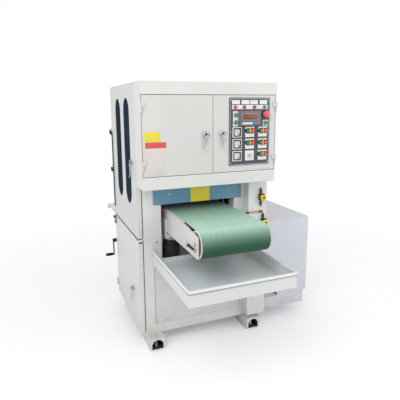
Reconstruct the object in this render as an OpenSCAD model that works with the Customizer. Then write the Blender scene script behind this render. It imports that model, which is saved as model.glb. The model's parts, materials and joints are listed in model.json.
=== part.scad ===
// Wide belt sander: a floor machine with three belt heads over a lifting feed conveyor.
// Millimetres, +Z up, the feed side faces -Y. Modelled from the machine's front left corner, then centred.

/* [Machine] */
// Height from the floor to the top cover
total_h = 1700; // [1600:5:1900]
// Width of the cabinet between its outer side faces
cab_w = 888; // [880:2:1060]
// Depth of the cabinet from the front of the head to the rear wall
cab_d = 892; // [880:2:1080]
// How far the head stands out in front of the columns
overhang = 150; // [120:5:180]
// Height of the underside of the overhanging head
head_z = 1075; // [1070:1:1090]
// Height at which the head is bolted to the base
split_z = 736; // [725:1:745]
// Clear height under the base rails
base_z = 78; // [60:1:95]
// Thickness of the cabinet sheet
sheet = 4; // [3:0.5:6]
// Gap around each door
seam = 3; // [2:0.5:5]

/* [Columns and base] */
// Width of each column beside the feed opening
post_w = 124; // [100:1:130]
// Depth of each column
post_d = 80; // [60:1:90]
// Width of the feed opening between the columns
opening_w = 516; // [500:1:530]
// Height of the bottom rails
rail_h = 65; // [50:1:80]
// Depth of the bottom rails
rail_t = 40; // [30:1:50]
// Height of the deck that carries the lifting jacks
deck_z = 560; // [540:1:575]
// Thickness of the deck
deck_t = 10; // [6:1:16]
// Width of a foot
foot_w = 102; // [90:1:120]
// Length of a foot
foot_l = 180; // [150:5:220]
// How far a foot stands out from the columns
foot_reach = 75; // [50:5:90]
// Radius of the arch in a foot's end
arch_r = 38; // [28:1:42]

/* [Doors] */
// Thickness of the side doors
side_door_t = 28; // [22:1:36]
// Thickness of the front doors
front_door_t = 22; // [18:1:28]
// Sheet thickness of the doors
skin_t = 3; // [2:0.5:4]
// Height of the lower edge of the lower side door
low_door_z = 92; // [86:1:110]
// Height of the lower edge of the front doors
front_door_z = 1154; // [1140:1:1180]
// Height of the upper edge of the front doors
front_door_top = 1624; // [1610:1:1640]
// Width of a window slot in the upper side door
slot_w = 170; // [120:2:190]
// Height of a window slot
slot_h = 686; // [560:2:760]
// Radius of a hinge knuckle
knuckle_r = 6; // [5:0.5:8]
// Length of one half of a hinge
knuckle_l = 30; // [20:1:40]
// Length of a door lever
lever_l = 92; // [70:1:110]

/* [Control panel] */
// Width of the control panel
panel_w = 282; // [260:1:300]
// Height of the control panel
panel_h = 415; // [400:1:440]
// Thickness of the control panel
panel_t = 4; // [3:0.5:6]
// Side of a switch plate
plate_w = 63; // [58:1:66]
// Radius of a start or stop button
button_r = 8; // [6:0.5:9]
// Radius of the emergency stop's head
stop_r = 21; // [16:0.5:24]
// Travel of a push button
push = 3; // [2:0.5:4]

/* [Conveyor] */
// Width of the feed belt
belt_w = 414; // [380:2:430]
// Thickness of the feed belt
belt_t = 3; // [2:0.5:4]
// Height of the feed belt's top face
belt_z = 908; // [900:1:915]
// Radius of the conveyor rollers
roller_r = 77; // [70:1:80]
// Distance of the front roller's axis in front of the head
nose_reach = 331; // [280:5:350]
// Distance of the rear roller's axis behind the rear wall
tail_reach = 112; // [105:1:140]
// Thickness of the conveyor's side plates
cheek_t = 8; // [6:1:10]

/* [Lift] */
// How far the conveyor lowers from its usual height
lift_down = 50; // [30:1:52]
// How far the conveyor rises from its usual height
lift_up = 30; // [20:1:32]
// Radius of a lifting screw
screw_r = 22; // [16:1:26]
// Outer radius of a jack's dust cover
boot_r = 58; // [52:1:60]
// Radius of the crank's circle
crank_r = 115; // [90:1:120]

/* [Tray and shelf] */
// Width of the dust tray
tray_w = 645; // [600:5:660]
// Length of the dust tray
tray_l = 660; // [560:5:700]
// Height of the dust tray
tray_h = 92; // [70:1:95]
// Height of the tray's rim
tray_z = 655; // [650:1:665]
// Radius of the tray's rolled rim
rim_r = 7; // [5:0.5:9]
// Width of the rear shelf
shelf_w = 180; // [120:5:185]
// Length of the rear shelf
shelf_l = 350; // [250:5:400]

/* [Side housing] */
// Width of the drive housing beside the base
housing_w = 407; // [360:1:450]
// Depth of the drive housing
housing_d = 640; // [620:5:680]
// Height of the drive housing's top
housing_z = 751; // [730:1:760]
// Width of the switch column at the front right
column_w = 139; // [120:1:145]
// How far the switch column stands out from the columns
column_d = 65; // [50:1:75]

/* [Sanding heads] */
// Radius of the two contact drums and their idlers
drum_r = 90; // [80:1:94]
// Radius of the platen head's drum, nose and idler
small_drum_r = 50; // [40:1:54]
// Width of an abrasive belt
abrasive_w = 400; // [360:5:410]
// Clearance between the feed belt and the abrasive belts
work_gap = 42; // [40:1:50]
// Radius of the drum and roller shafts
shaft_r = 15; // [12:1:18]
// Radius of the drive pulleys
pulley_r = 45; // [35:1:50]

/* [Hidden] */
$fn = 48;

// Clearances and cutting overrun
fit = 0.05;
slack = 0.5;
over = 1;

// Finishes
frame_colour = "gainsboro";
housing_colour = "lightsteelblue";
steel_colour = "silver";
dark_colour = "dimgray";
black_colour = "#202022";

// Main planes
front_y = overhang;
left_x = side_door_t;
open_x0 = left_x + post_w;
open_x1 = open_x0 + opening_w;
right_post_x = open_x1 + post_w;
mid_open_x = (open_x0 + open_x1) / 2;
top_z = total_h - sheet;
rail_z = base_z + rail_h;
post_fronts = [front_y, cab_d - post_d];

// Front panel below the tray, and the guard over the feed opening
lower_panel_w = 620;
lower_panel_x = mid_open_x - lower_panel_w / 2;
guard_w = 615;
guard_t = 6;

// Feet and levelling bolts
foot_wall = 6;
foot_inset = 8;
foot_xs = [left_x + foot_inset, right_post_x - foot_w / 2];
foot_ys = [front_y - foot_reach, cab_d + foot_reach - foot_l];
arch_share = 0.8;
arch_z = arch_r * arch_share;
bolt_r = 8;
bolt_pad_r = 24;
bolt_pad_h = 8;
bolt_nut_r = 15;
bolt_nut_h = 12;
bolt_inset = 40;

// Tray runners and crank bearing
runner_w = 20;
runner_h = 30;
runner_l = 420;
runner_inset = 22;
tray_x0 = mid_open_x - tray_w / 2;
tray_x1 = tray_x0 + tray_w;
tray_y1 = front_y - slack;
tray_y0 = tray_y1 - tray_l;
tray_bottom = tray_z - tray_h;
tray_lip = 20;
drain_r = 4;
drain_pitch = 26;
drain_share = 0.62;
crank_back = 43;
crank_y = cab_d + crank_back;
crank_z = 500;
crank_shaft_r = 10;
crank_hub_r = 15;
crank_arm_w = 18;
crank_arm_t = 8;
crank_gap = 14;
grip_r = 11;
grip_l = 62;
bearing_w = 32;
bearing_r = 24;
shelf_lip = 39;
gusset_l = 140;
gusset_t = 8;

// Side door places
side_y0 = front_y + seam;
side_y1 = cab_d - seam;
side_len = side_y1 - side_y0;
upper_z0 = split_z + seam;
upper_z1 = top_z - seam;
lower_z1 = split_z - seam;
slot_y_shares = [0.298, 0.656];
slot_z_share = 0.5587;
slot_z = upper_z0 + (upper_z1 - upper_z0) * slot_z_share;
screen_t = 3;
screen_edge = 18;
upper_hinge_shares = [0.367, 0.664];
lower_hinge_shares = [0.12, 0.92];
front_hinge_shares = [0.14, 0.845];
upper_handle_share = [0.125, 0.503];
lower_handle_share = [0.25, 0.39];
upper_handle = side_at(upper_handle_share, upper_z0, upper_z1);
lower_handle = side_at(lower_handle_share, low_door_z, lower_z1);
leaf_t = 3;
leaf_l = 24;
pin_r = 3;
side_axis = [-knuckle_r - slack, cab_d - seam / 2];
front_axes = [[seam, -knuckle_r - slack], [cab_w - seam, -knuckle_r - slack]];

// Front door places
split_share = 0.503;
split_x = cab_w * split_share;
front_left_x0 = sheet + seam;
front_right_x1 = cab_w - sheet - seam;
stop_lip = 15;
mullion_w = 40;
front_door_h = front_door_top - front_door_z;
handle_share = 0.51;
left_handle_reach = 52;
right_handle_reach = 60;
left_handle_x = split_x - left_handle_reach;
right_handle_x = split_x + right_handle_reach;
boss_r = 15;
boss_t = 8;
lever_w = 13;
lever_t = 7;
spindle_r = 6;
cam_l = 22;
cam_w = 12;
cam_t = 4;
cam_gap = 3;
front_lean = 8;

// Control panel places: centres as shares of the panel
panel_set_x = 109;
panel_set_z = 39;
panel_x0 = split_x + panel_set_x;
panel_z0 = front_door_z + panel_set_z;
plate_t = 1.5;
plate_y = -panel_t - plate_t;
column_shares = [0.181, 0.5, 0.826];
row_shares = [0.496, 0.318, 0.14];
twin_cells = [[1, 0], [2, 0], [1, 1], [2, 1], [2, 2]];
knob_cell = [1, 2];
label_x_shares = [0.152, 0.383, 0.596, 0.833];
label_z_share = 0.937;
label_w = 54;
label_h = 25;
lamp_x_shares = [0.135, 0.355, 0.606, 0.862];
lamp_z_share = 0.865;
lamp_r = 8;
lamp_h = 10;
strip_w = 250;
strip_h = 26;
display_share = [0.519, 0.7];
display_w = 155;
display_h = 95;
display_t = 14;
glass_w = 100;
glass_h = 36;
glass_d = 2;
glass_rise = 10;
estop_share = [0.895, 0.758];
jog_shares = [[0.149, 0.749], [0.149, 0.641], [0.894, 0.625]];
jog_plate_w = 38;
jog_plate_h = 92;
jog_r = 9;
collar_wall = 5;
collar_h = 8;
bezel_wall = 3;
bezel_h = 9;
twin_pitch = 34;
twin_rise = 7;
lens_w = 12;
lens_h = 12;
start_proud = 1;
stop_proud = 4;
estop_stem_r = 9;
estop_head_h = 16;
knob_r = 11;
knob_h = 15;
meter_t = 6;
meter_wall = 7;
meter_d = 4;

// Conveyor places
belt_gap = 0.3;
belt_facets = 96;
loop_r = roller_r + belt_gap;
axis_z = belt_z - loop_r - belt_t;
nose_y = -nose_reach;
tail_y = cab_d + tail_reach;
belt_x0 = mid_open_x - belt_w / 2;
belt_x1 = belt_x0 + belt_w;
cheek_gap = 2;
cheek_x0 = belt_x0 - cheek_gap - cheek_t;
cheek_x1 = belt_x1 + cheek_gap + cheek_t;
cheek_end = 40;
cheek_set = 6;
cheek_drop = 71;
cheek_top = belt_z - cheek_set;
cheek_low = axis_z - cheek_drop;
nose_cut_l = 130;
nose_cut_h = 27;
slide_t = 8;
tie_d = 60;
tie_h = 30;
tie_shares = [0.12, 0.42, 0.87];
beam_d = 90;
beam_h = 28;
beam_drop = 14;
hanger_t = 9;
hanger_h = 130;
jack_inset = 42;
jack_xs = [cheek_x0 + jack_inset, cheek_x1 - jack_inset];
jack_front = 65;
jack_back = 62;
jack_ys = [front_y + jack_front, cab_d - jack_back];
beam_top = cheek_low - beam_drop;
beam_low = beam_top - beam_h;
flange_h = 12;
jack_base_h = 30;
jack_base_r = 44;
jack_foot_h = 10;
boot_t = 3;
boot_rib = 2;
boot_ribs = 6;
boot_clear = 1.5;
sleeve_top = beam_low - lift_down - boot_clear;
boot_lap = 10;
cover_low = sleeve_top - lift_up - boot_lap;
screw_tail = 96;
screw_low = deck_z - screw_tail;
tension_l = 130;
tension_r = 5;
tension_block = [13, 26, 32];
tension_drop = 28;
gearbox_w = 80;
gearbox_h = 100;
drive_shaft_l = 60;
motor_r = 50;
motor_l = 150;

// Drive housing and switch column
housing_set = 10;
housing_y0 = front_y + housing_set;
plinth_h = 95;
plinth_inset = 25;
hole_w = 120;
hole_h = 36;
hole_x = 30;
column_x1 = cab_w - sheet;
column_x0 = column_x1 - column_w;
column_y0 = front_y - column_d;
column_z0 = 99;
valve_shares = [[0.68, 0.887], [0.82, 0.724]];
valve_w = 40;
valve_d = 22;
valve_h = 46;
valve_stem_r = 6;
valve_stem_l = 62;
valve_stem_set = 13;
valve_knob_w = 42;
valve_knob_t = 20;
valve_knob_r = 16;
valve_spindle_r = 5;
pointer_r = 4;
pointer_z_share = 0.792;
pointer_l = 128;
pointer_tip = 24;
pointer_tip_r = 7;

// Sanding heads
abrasive_t = 2;
abrasive_z = belt_z + work_gap;
abrasive_x0 = mid_open_x - abrasive_w / 2;
drum_z = abrasive_z + abrasive_t + belt_gap + drum_r;
small_z = abrasive_z + abrasive_t + belt_gap + small_drum_r;
idler_drop = 136;
idler_z = top_z - idler_drop;
head_lead = 85;
head_space = 25;
platen_space = 16;
platen_l = 118;
head_y = front_y + head_lead + drum_r;
head_ys = [head_y, head_y + 2 * drum_r + head_space];
platen_y = head_ys[1] + drum_r + small_drum_r + platen_space;
platen_ys = [platen_y, platen_y + platen_l];
platen_idler_y = (platen_ys[0] + platen_ys[1]) / 2;
platen_rise = 60;
drum_edge = 5;
frame_t = 25;
frame_rise = 224;
frame_z0 = split_z + frame_rise;
frame_x0 = right_post_x;
frame_x1 = frame_x0 + frame_t;
pulley_gap = 9;
pulley_w = 30;
pulley_x0 = frame_x1 + pulley_gap;
vee_t = 6;
motor_z = 450;
motor_gap = 6;
head_motor_r = (platen_y - head_ys[1] - motor_gap) / 2;
head_motor_l = 270;
head_motor_set = 42;
head_motor_x = cab_w + head_motor_set;
pedestal_shares = [0.45, 0.9];
drum_places = [[head_ys[0], drum_z, drum_r], [head_ys[1], drum_z, drum_r],
               [platen_ys[0], small_z, small_drum_r]];
idler_places = [[head_ys[0], idler_z, drum_r], [head_ys[1], idler_z, drum_r],
                [platen_idler_y, idler_z, small_drum_r]];

// Middle of the whole machine, which becomes the origin
low_x = -crank_gap - crank_arm_t - grip_l;
high_x = cab_w + housing_w;
low_y = tray_y0 + skin_t / 2 - rim_r;
high_y = cab_d + shelf_l;
mid_x = (low_x + high_x) / 2;
mid_y = (low_y + high_y) / 2;

// Panel places in the machine's own coordinates
function at_x(share) = panel_x0 + panel_w * share;
function at_z(share) = panel_z0 + panel_h * share;
function cell(c) = [at_x(column_shares[c[0]]), at_z(row_shares[c[1]])];
function jog_at(i) = [at_x(jog_shares[i][0]), at_z(jog_shares[i][1])];
function estop_at() = [at_x(estop_share[0]), at_z(estop_share[1])];
function handle_z() = front_door_z + front_door_h * handle_share;
function side_at(share, z0, z1) = [0, side_y0 + side_len * share[0], z0 + (z1 - z0) * share[1]];
function valve_at(i) = [column_x0 + column_w * valve_shares[i][0], head_z * valve_shares[i][1]];

// Moves the machine so that its middle stands on the origin
module place() translate([-mid_x, -mid_y, 0]) children();

// Box between two corners
module span(low, high) translate(low) cube(high - low);

// Box tube between two corners, open at both ends along Z
module post(low, high, wall) {
    difference() {
        span(low, high);
        span([low.x + wall, low.y + wall, low.z - over], [high.x - wall, high.y - wall, high.z + over]);
    }
}

// Cylinders that start at a point and run along one axis
module rod_x(p, r, l) translate(p) rotate([0, 90, 0]) cylinder(r = r, h = l);
module rod_y(p, r, l) translate(p) rotate([-90, 0, 0]) cylinder(r = r, h = l);
module rod_z(p, r, l) translate(p) cylinder(r = r, h = l);

// Area inside a belt around equal wheels of radius r, centres in the YZ plane, drawn flat
module chain(points, r) hull() for (p = points) translate(p) circle(r, $fn = belt_facets);

// Endless belt around equal wheels: centres in YZ, from x0 over width w
module belt_loop(points, r, t, x0, w) {
    translate([x0, 0, 0]) rotate([90, 0, 90]) difference() {
        linear_extrude(w) chain(points, r + t);
        translate([0, 0, -over]) linear_extrude(w + 2 * over) chain(points, r);
    }
}

// Sheet-metal pan: a skin with folded edges, hollow on the side given by the pocket's two corners
module pan(low, high, pocket_low, pocket_high) {
    difference() {
        span(low, high);
        span(pocket_low, pocket_high);
    }
}

// Half of a hinge barrel on a vertical axis
module barrel(axis, z) rod_z([axis.x, axis.y, z], knuckle_r, knuckle_l);

module foot(x, y) {
    front = y < mid_y ? y : y + foot_l - foot_wall;
    difference() {
        span([x, y, 0], [x + foot_w, y + foot_l, base_z]);
        span([x + foot_wall, y + foot_wall, -over],
             [x + foot_w - foot_wall, y + foot_l - foot_wall, base_z - foot_wall]);
        rod_y([x + foot_w / 2, front - over, arch_z], arch_r, foot_wall + 2 * over);
        span([x + foot_w / 2 - arch_r, front - over, -over],
             [x + foot_w / 2 + arch_r, front + foot_wall + over, arch_z]);
        for (q = bolt_places())
            rod_z([q.x, q.y, base_z - foot_wall - over], bolt_r, foot_wall + 2 * over);
    }
}

// Centres of the four levelling bolts
function bolt_places() = [for (x = foot_xs) for (y = foot_ys)
    [x + foot_w / 2, y < mid_y ? y + bolt_inset : y + foot_l - bolt_inset]];

module base_frame() place() color(frame_colour) {
    difference() {
        union() {
            for (x = [left_x, open_x1]) for (y = post_fronts)
                post([x, y, base_z], [x + post_w, y + post_d, split_z], sheet);
            for (y = [front_y, cab_d - rail_t])
                span([left_x, y, base_z], [cab_w, y + rail_t, rail_z]);
            for (x = [left_x, cab_w - rail_t])
                span([x, front_y, base_z], [x + rail_t, cab_d, rail_z]);
            span([cab_w - sheet, front_y, base_z], [cab_w, cab_d, split_z]);
            span([left_x, cab_d - sheet, base_z], [cab_w, cab_d, deck_z - deck_t]);
            span([left_x, front_y, split_z - rail_t], [left_x + rail_t, cab_d, split_z]);
            for (x = [tray_x0 + runner_inset, tray_x1 - runner_inset - runner_w])
                span([x, front_y - runner_l, tray_bottom - slack - runner_h],
                     [x + runner_w, front_y + sheet, tray_bottom - slack]);
        }
        for (d = drum_places)
            rod_x([cab_w - sheet - over, d[0], motor_z], shaft_r + slack, sheet + 2 * over);
    }
}

// Four feet and the crank's bearing block, welded to the base
module base_feet() place() color(frame_colour) {
    for (x = foot_xs) for (y = foot_ys) foot(x, y);
    difference() {
        union() {
            span([left_x + sheet, cab_d, crank_z - bearing_r],
                 [left_x + sheet + bearing_w, crank_y, crank_z + bearing_r]);
            rod_x([left_x + sheet, crank_y, crank_z], bearing_r, bearing_w);
        }
        rod_x([0, crank_y, crank_z], crank_shaft_r + fit, post_w);
    }
}

module levelling_bolts() place() color(steel_colour) {
    for (q = bolt_places()) {
        rod_z([q.x, q.y, 0], bolt_pad_r, bolt_pad_h);
        rod_z([q.x, q.y, 0], bolt_r - fit, base_z - fit);
        translate([q.x, q.y, base_z - foot_wall - bolt_nut_h])
            cylinder(r = bolt_nut_r, h = bolt_nut_h, $fn = 6);
    }
}

// Lower ring of each jack with the bore that guides its screw
module deck_plate() place() color(frame_colour) {
    difference() {
        union() {
            span([open_x0, front_y, deck_z - deck_t], [open_x1, cab_d, deck_z]);
            for (x = jack_xs) for (y = jack_ys) {
                rod_z([x, y, deck_z], boot_r, jack_foot_h);
                rod_z([x, y, deck_z], jack_base_r, jack_base_h);
            }
        }
        for (x = jack_xs) for (y = jack_ys)
            rod_z([x, y, deck_z - deck_t - over], screw_r + fit, deck_t + jack_base_h + 2 * over);
    }
}

module head_shell() {
    stop_y = front_door_t + over;
    difference() {
        span([0, 0, head_z], [cab_w, front_y, total_h]);
        span([sheet, sheet, head_z + sheet], [cab_w - sheet, front_y - sheet, top_z]);
        span([sheet, -over, front_door_z - seam], [cab_w - sheet, sheet + over, front_door_top + seam]);
    }
    for (e = [[front_door_z - seam - sheet, front_door_z - seam - sheet],
              [front_door_top + seam, front_door_top - stop_lip]]) {
        span([sheet, 0, e[0]], [cab_w - sheet, stop_y + sheet, e[0] + sheet]);
        span([sheet, stop_y, e[1]], [cab_w - sheet, stop_y + sheet, e[1] + sheet + seam + stop_lip]);
    }
    span([split_x - mullion_w / 2, stop_y, front_door_z - seam],
         [split_x + mullion_w / 2, stop_y + sheet, front_door_top + seam]);
}

module upper_cabinet() place() color(frame_colour) {
    difference() {
        union() {
            head_shell();
            for (x = [left_x, open_x1]) for (y = post_fronts)
                post([x, y, split_z], [x + post_w, y + post_d, top_z + over], sheet);
            span([0, 0, top_z], [cab_w, cab_d, total_h]);
            span([cab_w - sheet, front_y, split_z], [cab_w, cab_d, total_h]);
            span([left_x, cab_d - sheet, split_z], [cab_w, cab_d, total_h]);
            span([left_x, front_y, split_z], [left_x + rail_t, cab_d, split_z + rail_t]);
            span([left_x, front_y, top_z - rail_h], [left_x + rail_t, cab_d, total_h]);
        }
        span([open_x0, cab_d - sheet - over, split_z - over], [open_x1, cab_d + over, drum_z]);
    }
}

module lower_front_panel() place() color(frame_colour)
    span([lower_panel_x, front_y - skin_t, rail_z],
         [lower_panel_x + lower_panel_w, front_y, tray_bottom - slack - runner_h - skin_t]);

module guard_bar() place() color("steelblue") {
    span([mid_open_x - guard_w / 2, front_y - guard_t, abrasive_z - slack],
         [mid_open_x + guard_w / 2, front_y, head_z - slack]);
}

module switch_column() place() color(frame_colour) {
    difference() {
        span([column_x0, column_y0, column_z0], [column_x1, front_y, head_z]);
        span([column_x0 + sheet, column_y0 + sheet, column_z0 + sheet],
             [column_x1 - sheet, front_y + over, head_z - sheet]);
    }
}

module drive_housing() place() color(housing_colour) {
    y1 = housing_y0 + housing_d;
    split = base_z + plinth_h;
    difference() {
        union() {
            span([cab_w, housing_y0, split], [cab_w + housing_w, y1, housing_z]);
            span([cab_w, housing_y0, base_z], [cab_w + housing_w - plinth_inset, y1, split]);
        }
        span([cab_w - over, housing_y0 + sheet, split + sheet],
             [cab_w + housing_w - sheet, y1 - sheet, housing_z - sheet]);
        span([cab_w - over, housing_y0 + sheet, base_z + sheet],
             [cab_w + housing_w - plinth_inset - sheet, y1 - sheet, split + sheet + over]);
        span([cab_w + hole_x, housing_y0 - over, split - 2 * sheet],
             [cab_w + hole_x + hole_w, housing_y0 + sheet + over, split - 2 * sheet + hole_h]);
    }
    for (d = drum_places)
        span([head_motor_x + head_motor_l * pedestal_shares[0], d[0] - head_motor_r / 2, base_z + sheet],
             [head_motor_x + head_motor_l * pedestal_shares[1], d[0] + head_motor_r / 2,
              motor_z - head_motor_r]);
}

module rear_shelf() place() color(frame_colour) {
    span([0, cab_d, split_z - sheet], [shelf_w, cab_d + shelf_l, split_z]);
    span([0, cab_d + shelf_l - sheet, split_z - shelf_lip], [shelf_w, cab_d + shelf_l, split_z]);
    for (x = [left_x + leaf_l + gusset_t, shelf_w - left_x - gusset_t])
        translate([x, cab_d, split_z]) rotate([90, 0, 90]) linear_extrude(gusset_t)
            polygon([[0, 0], [gusset_l, 0], [gusset_l, -shelf_lip], [shelf_lip, -gusset_l], [0, -gusset_l]]);
}

// Fixed half of each hinge: barrel, leaf and pin
module hinge_pins() place() color(dark_colour) {
    for (i = [0, 1]) for (s = front_hinge_shares) {
        z = front_door_z + front_door_h * s;
        a = front_axes[i];
        wall_x = i * cab_w;
        out = 2 * i - 1;
        barrel(a, z - knuckle_l);
        rod_z([a.x, a.y, z - knuckle_l], pin_r, 2 * knuckle_l);
        span([min(wall_x, wall_x + out * leaf_t), a.y, z - knuckle_l],
             [max(wall_x, wall_x + out * leaf_t), leaf_l, z]);
        span([min(a.x, wall_x + out * leaf_t), a.y - leaf_t / 2, z - knuckle_l],
             [max(a.x, wall_x + out * leaf_t), a.y + leaf_t / 2, z]);
    }
    for (z = side_hinge_zs()) {
        barrel(side_axis, z - knuckle_l);
        rod_z([side_axis.x, side_axis.y, z - knuckle_l], pin_r, 2 * knuckle_l);
        span([side_axis.x, cab_d, z - knuckle_l], [left_x + leaf_l, cab_d + leaf_t, z]);
    }
}

// Heights of the side doors' hinges, upper door first
function side_hinge_zs() = concat(
    [for (s = upper_hinge_shares) upper_z0 + (upper_z1 - upper_z0) * s],
    [for (s = lower_hinge_shares) low_door_z + (lower_z1 - low_door_z) * s]);

module column_fittings() place() color(black_colour) {
    for (i = [0, 1]) {
        v = valve_at(i);
        difference() {
            span([v.x - valve_w / 2, column_y0 - valve_d, v.y - valve_h / 2],
                 [v.x + valve_w / 2, column_y0, v.y + valve_h / 2]);
            rod_y([v.x, column_y0 - valve_d - over, v.y], valve_spindle_r + fit, valve_d + over - sheet);
        }
        rod_z([v.x - valve_stem_set, column_y0 - valve_d / 2, v.y - valve_stem_l],
              valve_stem_r, 2 * valve_stem_l);
    }
    pointer_x = column_x0 - pointer_tip;
    z = head_z * pointer_z_share;
    rod_x([pointer_x, column_y0 - pointer_tip_r, z], pointer_r, pointer_l);
    rod_x([pointer_x, column_y0 - pointer_tip_r, z], pointer_tip_r, pointer_tip);
    rod_x([pointer_x + pointer_l - pointer_tip, column_y0 - pointer_tip_r, z], pointer_tip_r, pointer_tip);
}

// Thick side plate that carries the drum and idler shafts and the platen
module head_frame() place() color(steel_colour) {
    platen();
    difference() {
        span([frame_x0, front_y, frame_z0], [frame_x1, cab_d - sheet, top_z]);
        for (d = concat(drum_places, idler_places))
            rod_x([frame_x0 - over, d[0], d[1]], shaft_r + fit, frame_t + 2 * over);
    }
}

module head_motors() place() color(dark_colour) {
    for (d = drum_places) {
        rod_x([head_motor_x, d[0], motor_z], head_motor_r, head_motor_l);
        rod_x([pulley_x0, d[0], motor_z], shaft_r, head_motor_x - pulley_x0);
        rod_x([pulley_x0, d[0], motor_z], pulley_r, pulley_w);
    }
}

module drive_belts() place() color(black_colour) {
    for (d = drum_places)
        belt_loop([[d[0], motor_z], [d[0], d[1]]], pulley_r + belt_gap, vee_t, pulley_x0, pulley_w);
}

// Stationary pad behind the third belt, with a round nose at its rear
module platen() {
    x0 = abrasive_x0 - drum_edge;
    low = small_z - small_drum_r;
    gap = small_drum_r + belt_gap + 2 * over;
    rod_x([x0, platen_ys[1], small_z], small_drum_r, abrasive_w + 2 * drum_edge);
    span([x0, platen_ys[0] + gap, low], [frame_x0, platen_ys[1], low + platen_rise]);
}

module abrasive_belts() place() color("saddlebrown") {
    for (y = head_ys)
        belt_loop([[y, drum_z], [y, idler_z]], drum_r + belt_gap, abrasive_t, abrasive_x0, abrasive_w);
    belt_loop([[platen_ys[0], small_z], [platen_ys[1], small_z], [platen_idler_y, idler_z]],
              small_drum_r + belt_gap, abrasive_t, abrasive_x0, abrasive_w);
}

// Ribbed tube of a jack's dust cover
module ribbed_tube(x, y, z0, z1, outer_r, ribs) {
    pitch = (z1 - z0) / ribs;
    difference() {
        union() {
            rod_z([x, y, z0], outer_r - boot_rib, z1 - z0);
            for (i = [0:ribs - 1]) rod_z([x, y, z0 + pitch * i + pitch / 4], outer_r, pitch / 2);
        }
        rod_z([x, y, z0 - over], outer_r - boot_rib - boot_t, z1 - z0 + 2 * over);
    }
}

module jack_sleeves() place() color(black_colour) {
    for (x = jack_xs) for (y = jack_ys)
        ribbed_tube(x, y, deck_z + jack_foot_h, sleeve_top, boot_r, boot_ribs);
}

// Moving half of a front door's hinges, on the side given by its axis
module front_leaves(axis, out) {
    for (s = front_hinge_shares) {
        z = front_door_z + front_door_h * s + slack;
        difference() {
            union() {
                barrel(axis, z);
                span([min(axis.x, axis.x - out * leaf_l), axis.y, z],
                     [max(axis.x, axis.x - out * leaf_l), axis.y + leaf_t, z + knuckle_l]);
                span([min(axis.x - out * leaf_l / 2, axis.x - out * leaf_l), axis.y, z],
                     [max(axis.x - out * leaf_l / 2, axis.x - out * leaf_l), skin_t, z + knuckle_l]);
            }
            rod_z([axis.x, axis.y, z - over], pin_r + fit, knuckle_l + 2 * over);
        }
    }
}

module front_door(x0, x1, axis, out, handle_x) {
    difference() {
        union() {
            pan([x0, 0, front_door_z], [x1, front_door_t, front_door_top],
                [x0 + skin_t, skin_t, front_door_z + skin_t],
                [x1 - skin_t, front_door_t + over, front_door_top - skin_t]);
            front_leaves(axis, out);
        }
        rod_y([handle_x, -over, handle_z()], spindle_r + fit, skin_t + 2 * over);
    }
}

module front_left_door() place() color(frame_colour)
    front_door(front_left_x0, split_x - seam / 2, front_axes[0], -1, left_handle_x);

module front_right_door() place() color(frame_colour)
    front_door(split_x + seam / 2, front_right_x1, front_axes[1], 1, right_handle_x);

// Moving half of a side door's hinges
module side_leaves(zs) {
    for (h = zs) {
        z = h + slack;
        difference() {
            union() {
                barrel(side_axis, z);
                span([side_axis.x, side_axis.y - leaf_l, z],
                     [side_axis.x + leaf_t, side_axis.y, z + knuckle_l]);
                span([side_axis.x, side_axis.y - leaf_l, z],
                     [skin_t, side_axis.y - leaf_l / 2, z + knuckle_l]);
            }
            rod_z([side_axis.x, side_axis.y, z - over], pin_r + fit, knuckle_l + 2 * over);
        }
    }
}

module side_door(z0, z1, hinge_zs, handle) {
    difference() {
        union() {
            pan([0, side_y0, z0], [side_door_t - slack, side_y1, z1],
                [skin_t, side_y0 + skin_t, z0 + skin_t], [side_door_t + over, side_y1 - skin_t, z1 - skin_t]);
            side_leaves(hinge_zs);
        }
        rod_x([-over, handle.y, handle.z], spindle_r + fit, skin_t + 2 * over);
    }
}

// Round-ended slot through a side door, as a box and two cylinders along X
module slot(y, w, h, x0, x1) {
    r = w / 2;
    for (z = [slot_z - h / 2 + r, slot_z + h / 2 - r]) rod_x([x0, y, z], r, x1 - x0);
    span([x0, y - r, slot_z - h / 2 + r], [x1, y + r, slot_z + h / 2 - r]);
}

module upper_side_door() place() color(frame_colour) {
    zs = side_hinge_zs();
    difference() {
        side_door(upper_z0, upper_z1, [zs[0], zs[1]], upper_handle);
        for (s = slot_y_shares) slot(side_y0 + side_len * s, slot_w, slot_h, -over, skin_t + over);
    }
}

module lower_side_door() place() color(frame_colour) {
    zs = side_hinge_zs();
    side_door(low_door_z, lower_z1, [zs[2], zs[3]], lower_handle);
}

module window_screens() place() color("midnightblue") {
    for (s = slot_y_shares)
        slot(side_y0 + side_len * s, slot_w + 2 * screen_edge, slot_h + 2 * screen_edge,
             skin_t, skin_t + screen_t);
}

// Lever lock drawn with its spindle along +Y from the door's face at the origin, lever hanging down
module lever_lock(lean) {
    rod_y([0, -boss_t - lever_t, 0], boss_r, boss_t + lever_t - slack);
    rod_y([0, -boss_t, 0], spindle_r, boss_t + skin_t + cam_gap + cam_t);
    rotate([0, lean, 0]) {
        span([-lever_w / 2, -boss_t - lever_t + over, -lever_l], [lever_w / 2, -boss_t + over, 0]);
        rod_y([0, -boss_t - lever_t + over, -lever_l], lever_w / 2, lever_t);
    }
    span([-cam_w / 2, skin_t + cam_gap, -cam_l], [cam_w / 2, skin_t + cam_gap + cam_t, cam_w / 2]);
}

module front_left_handle() place() color(steel_colour)
    translate([left_handle_x, 0, handle_z()]) lever_lock(0);

module front_right_handle() place() color(steel_colour)
    translate([right_handle_x, 0, handle_z()]) lever_lock(-front_lean);

module upper_side_handle() place() color(steel_colour)
    translate(upper_handle) rotate([0, 0, -90]) lever_lock(0);

module lower_side_handle() place() color(steel_colour)
    translate(lower_handle) rotate([0, 0, -90]) lever_lock(0);

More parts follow.
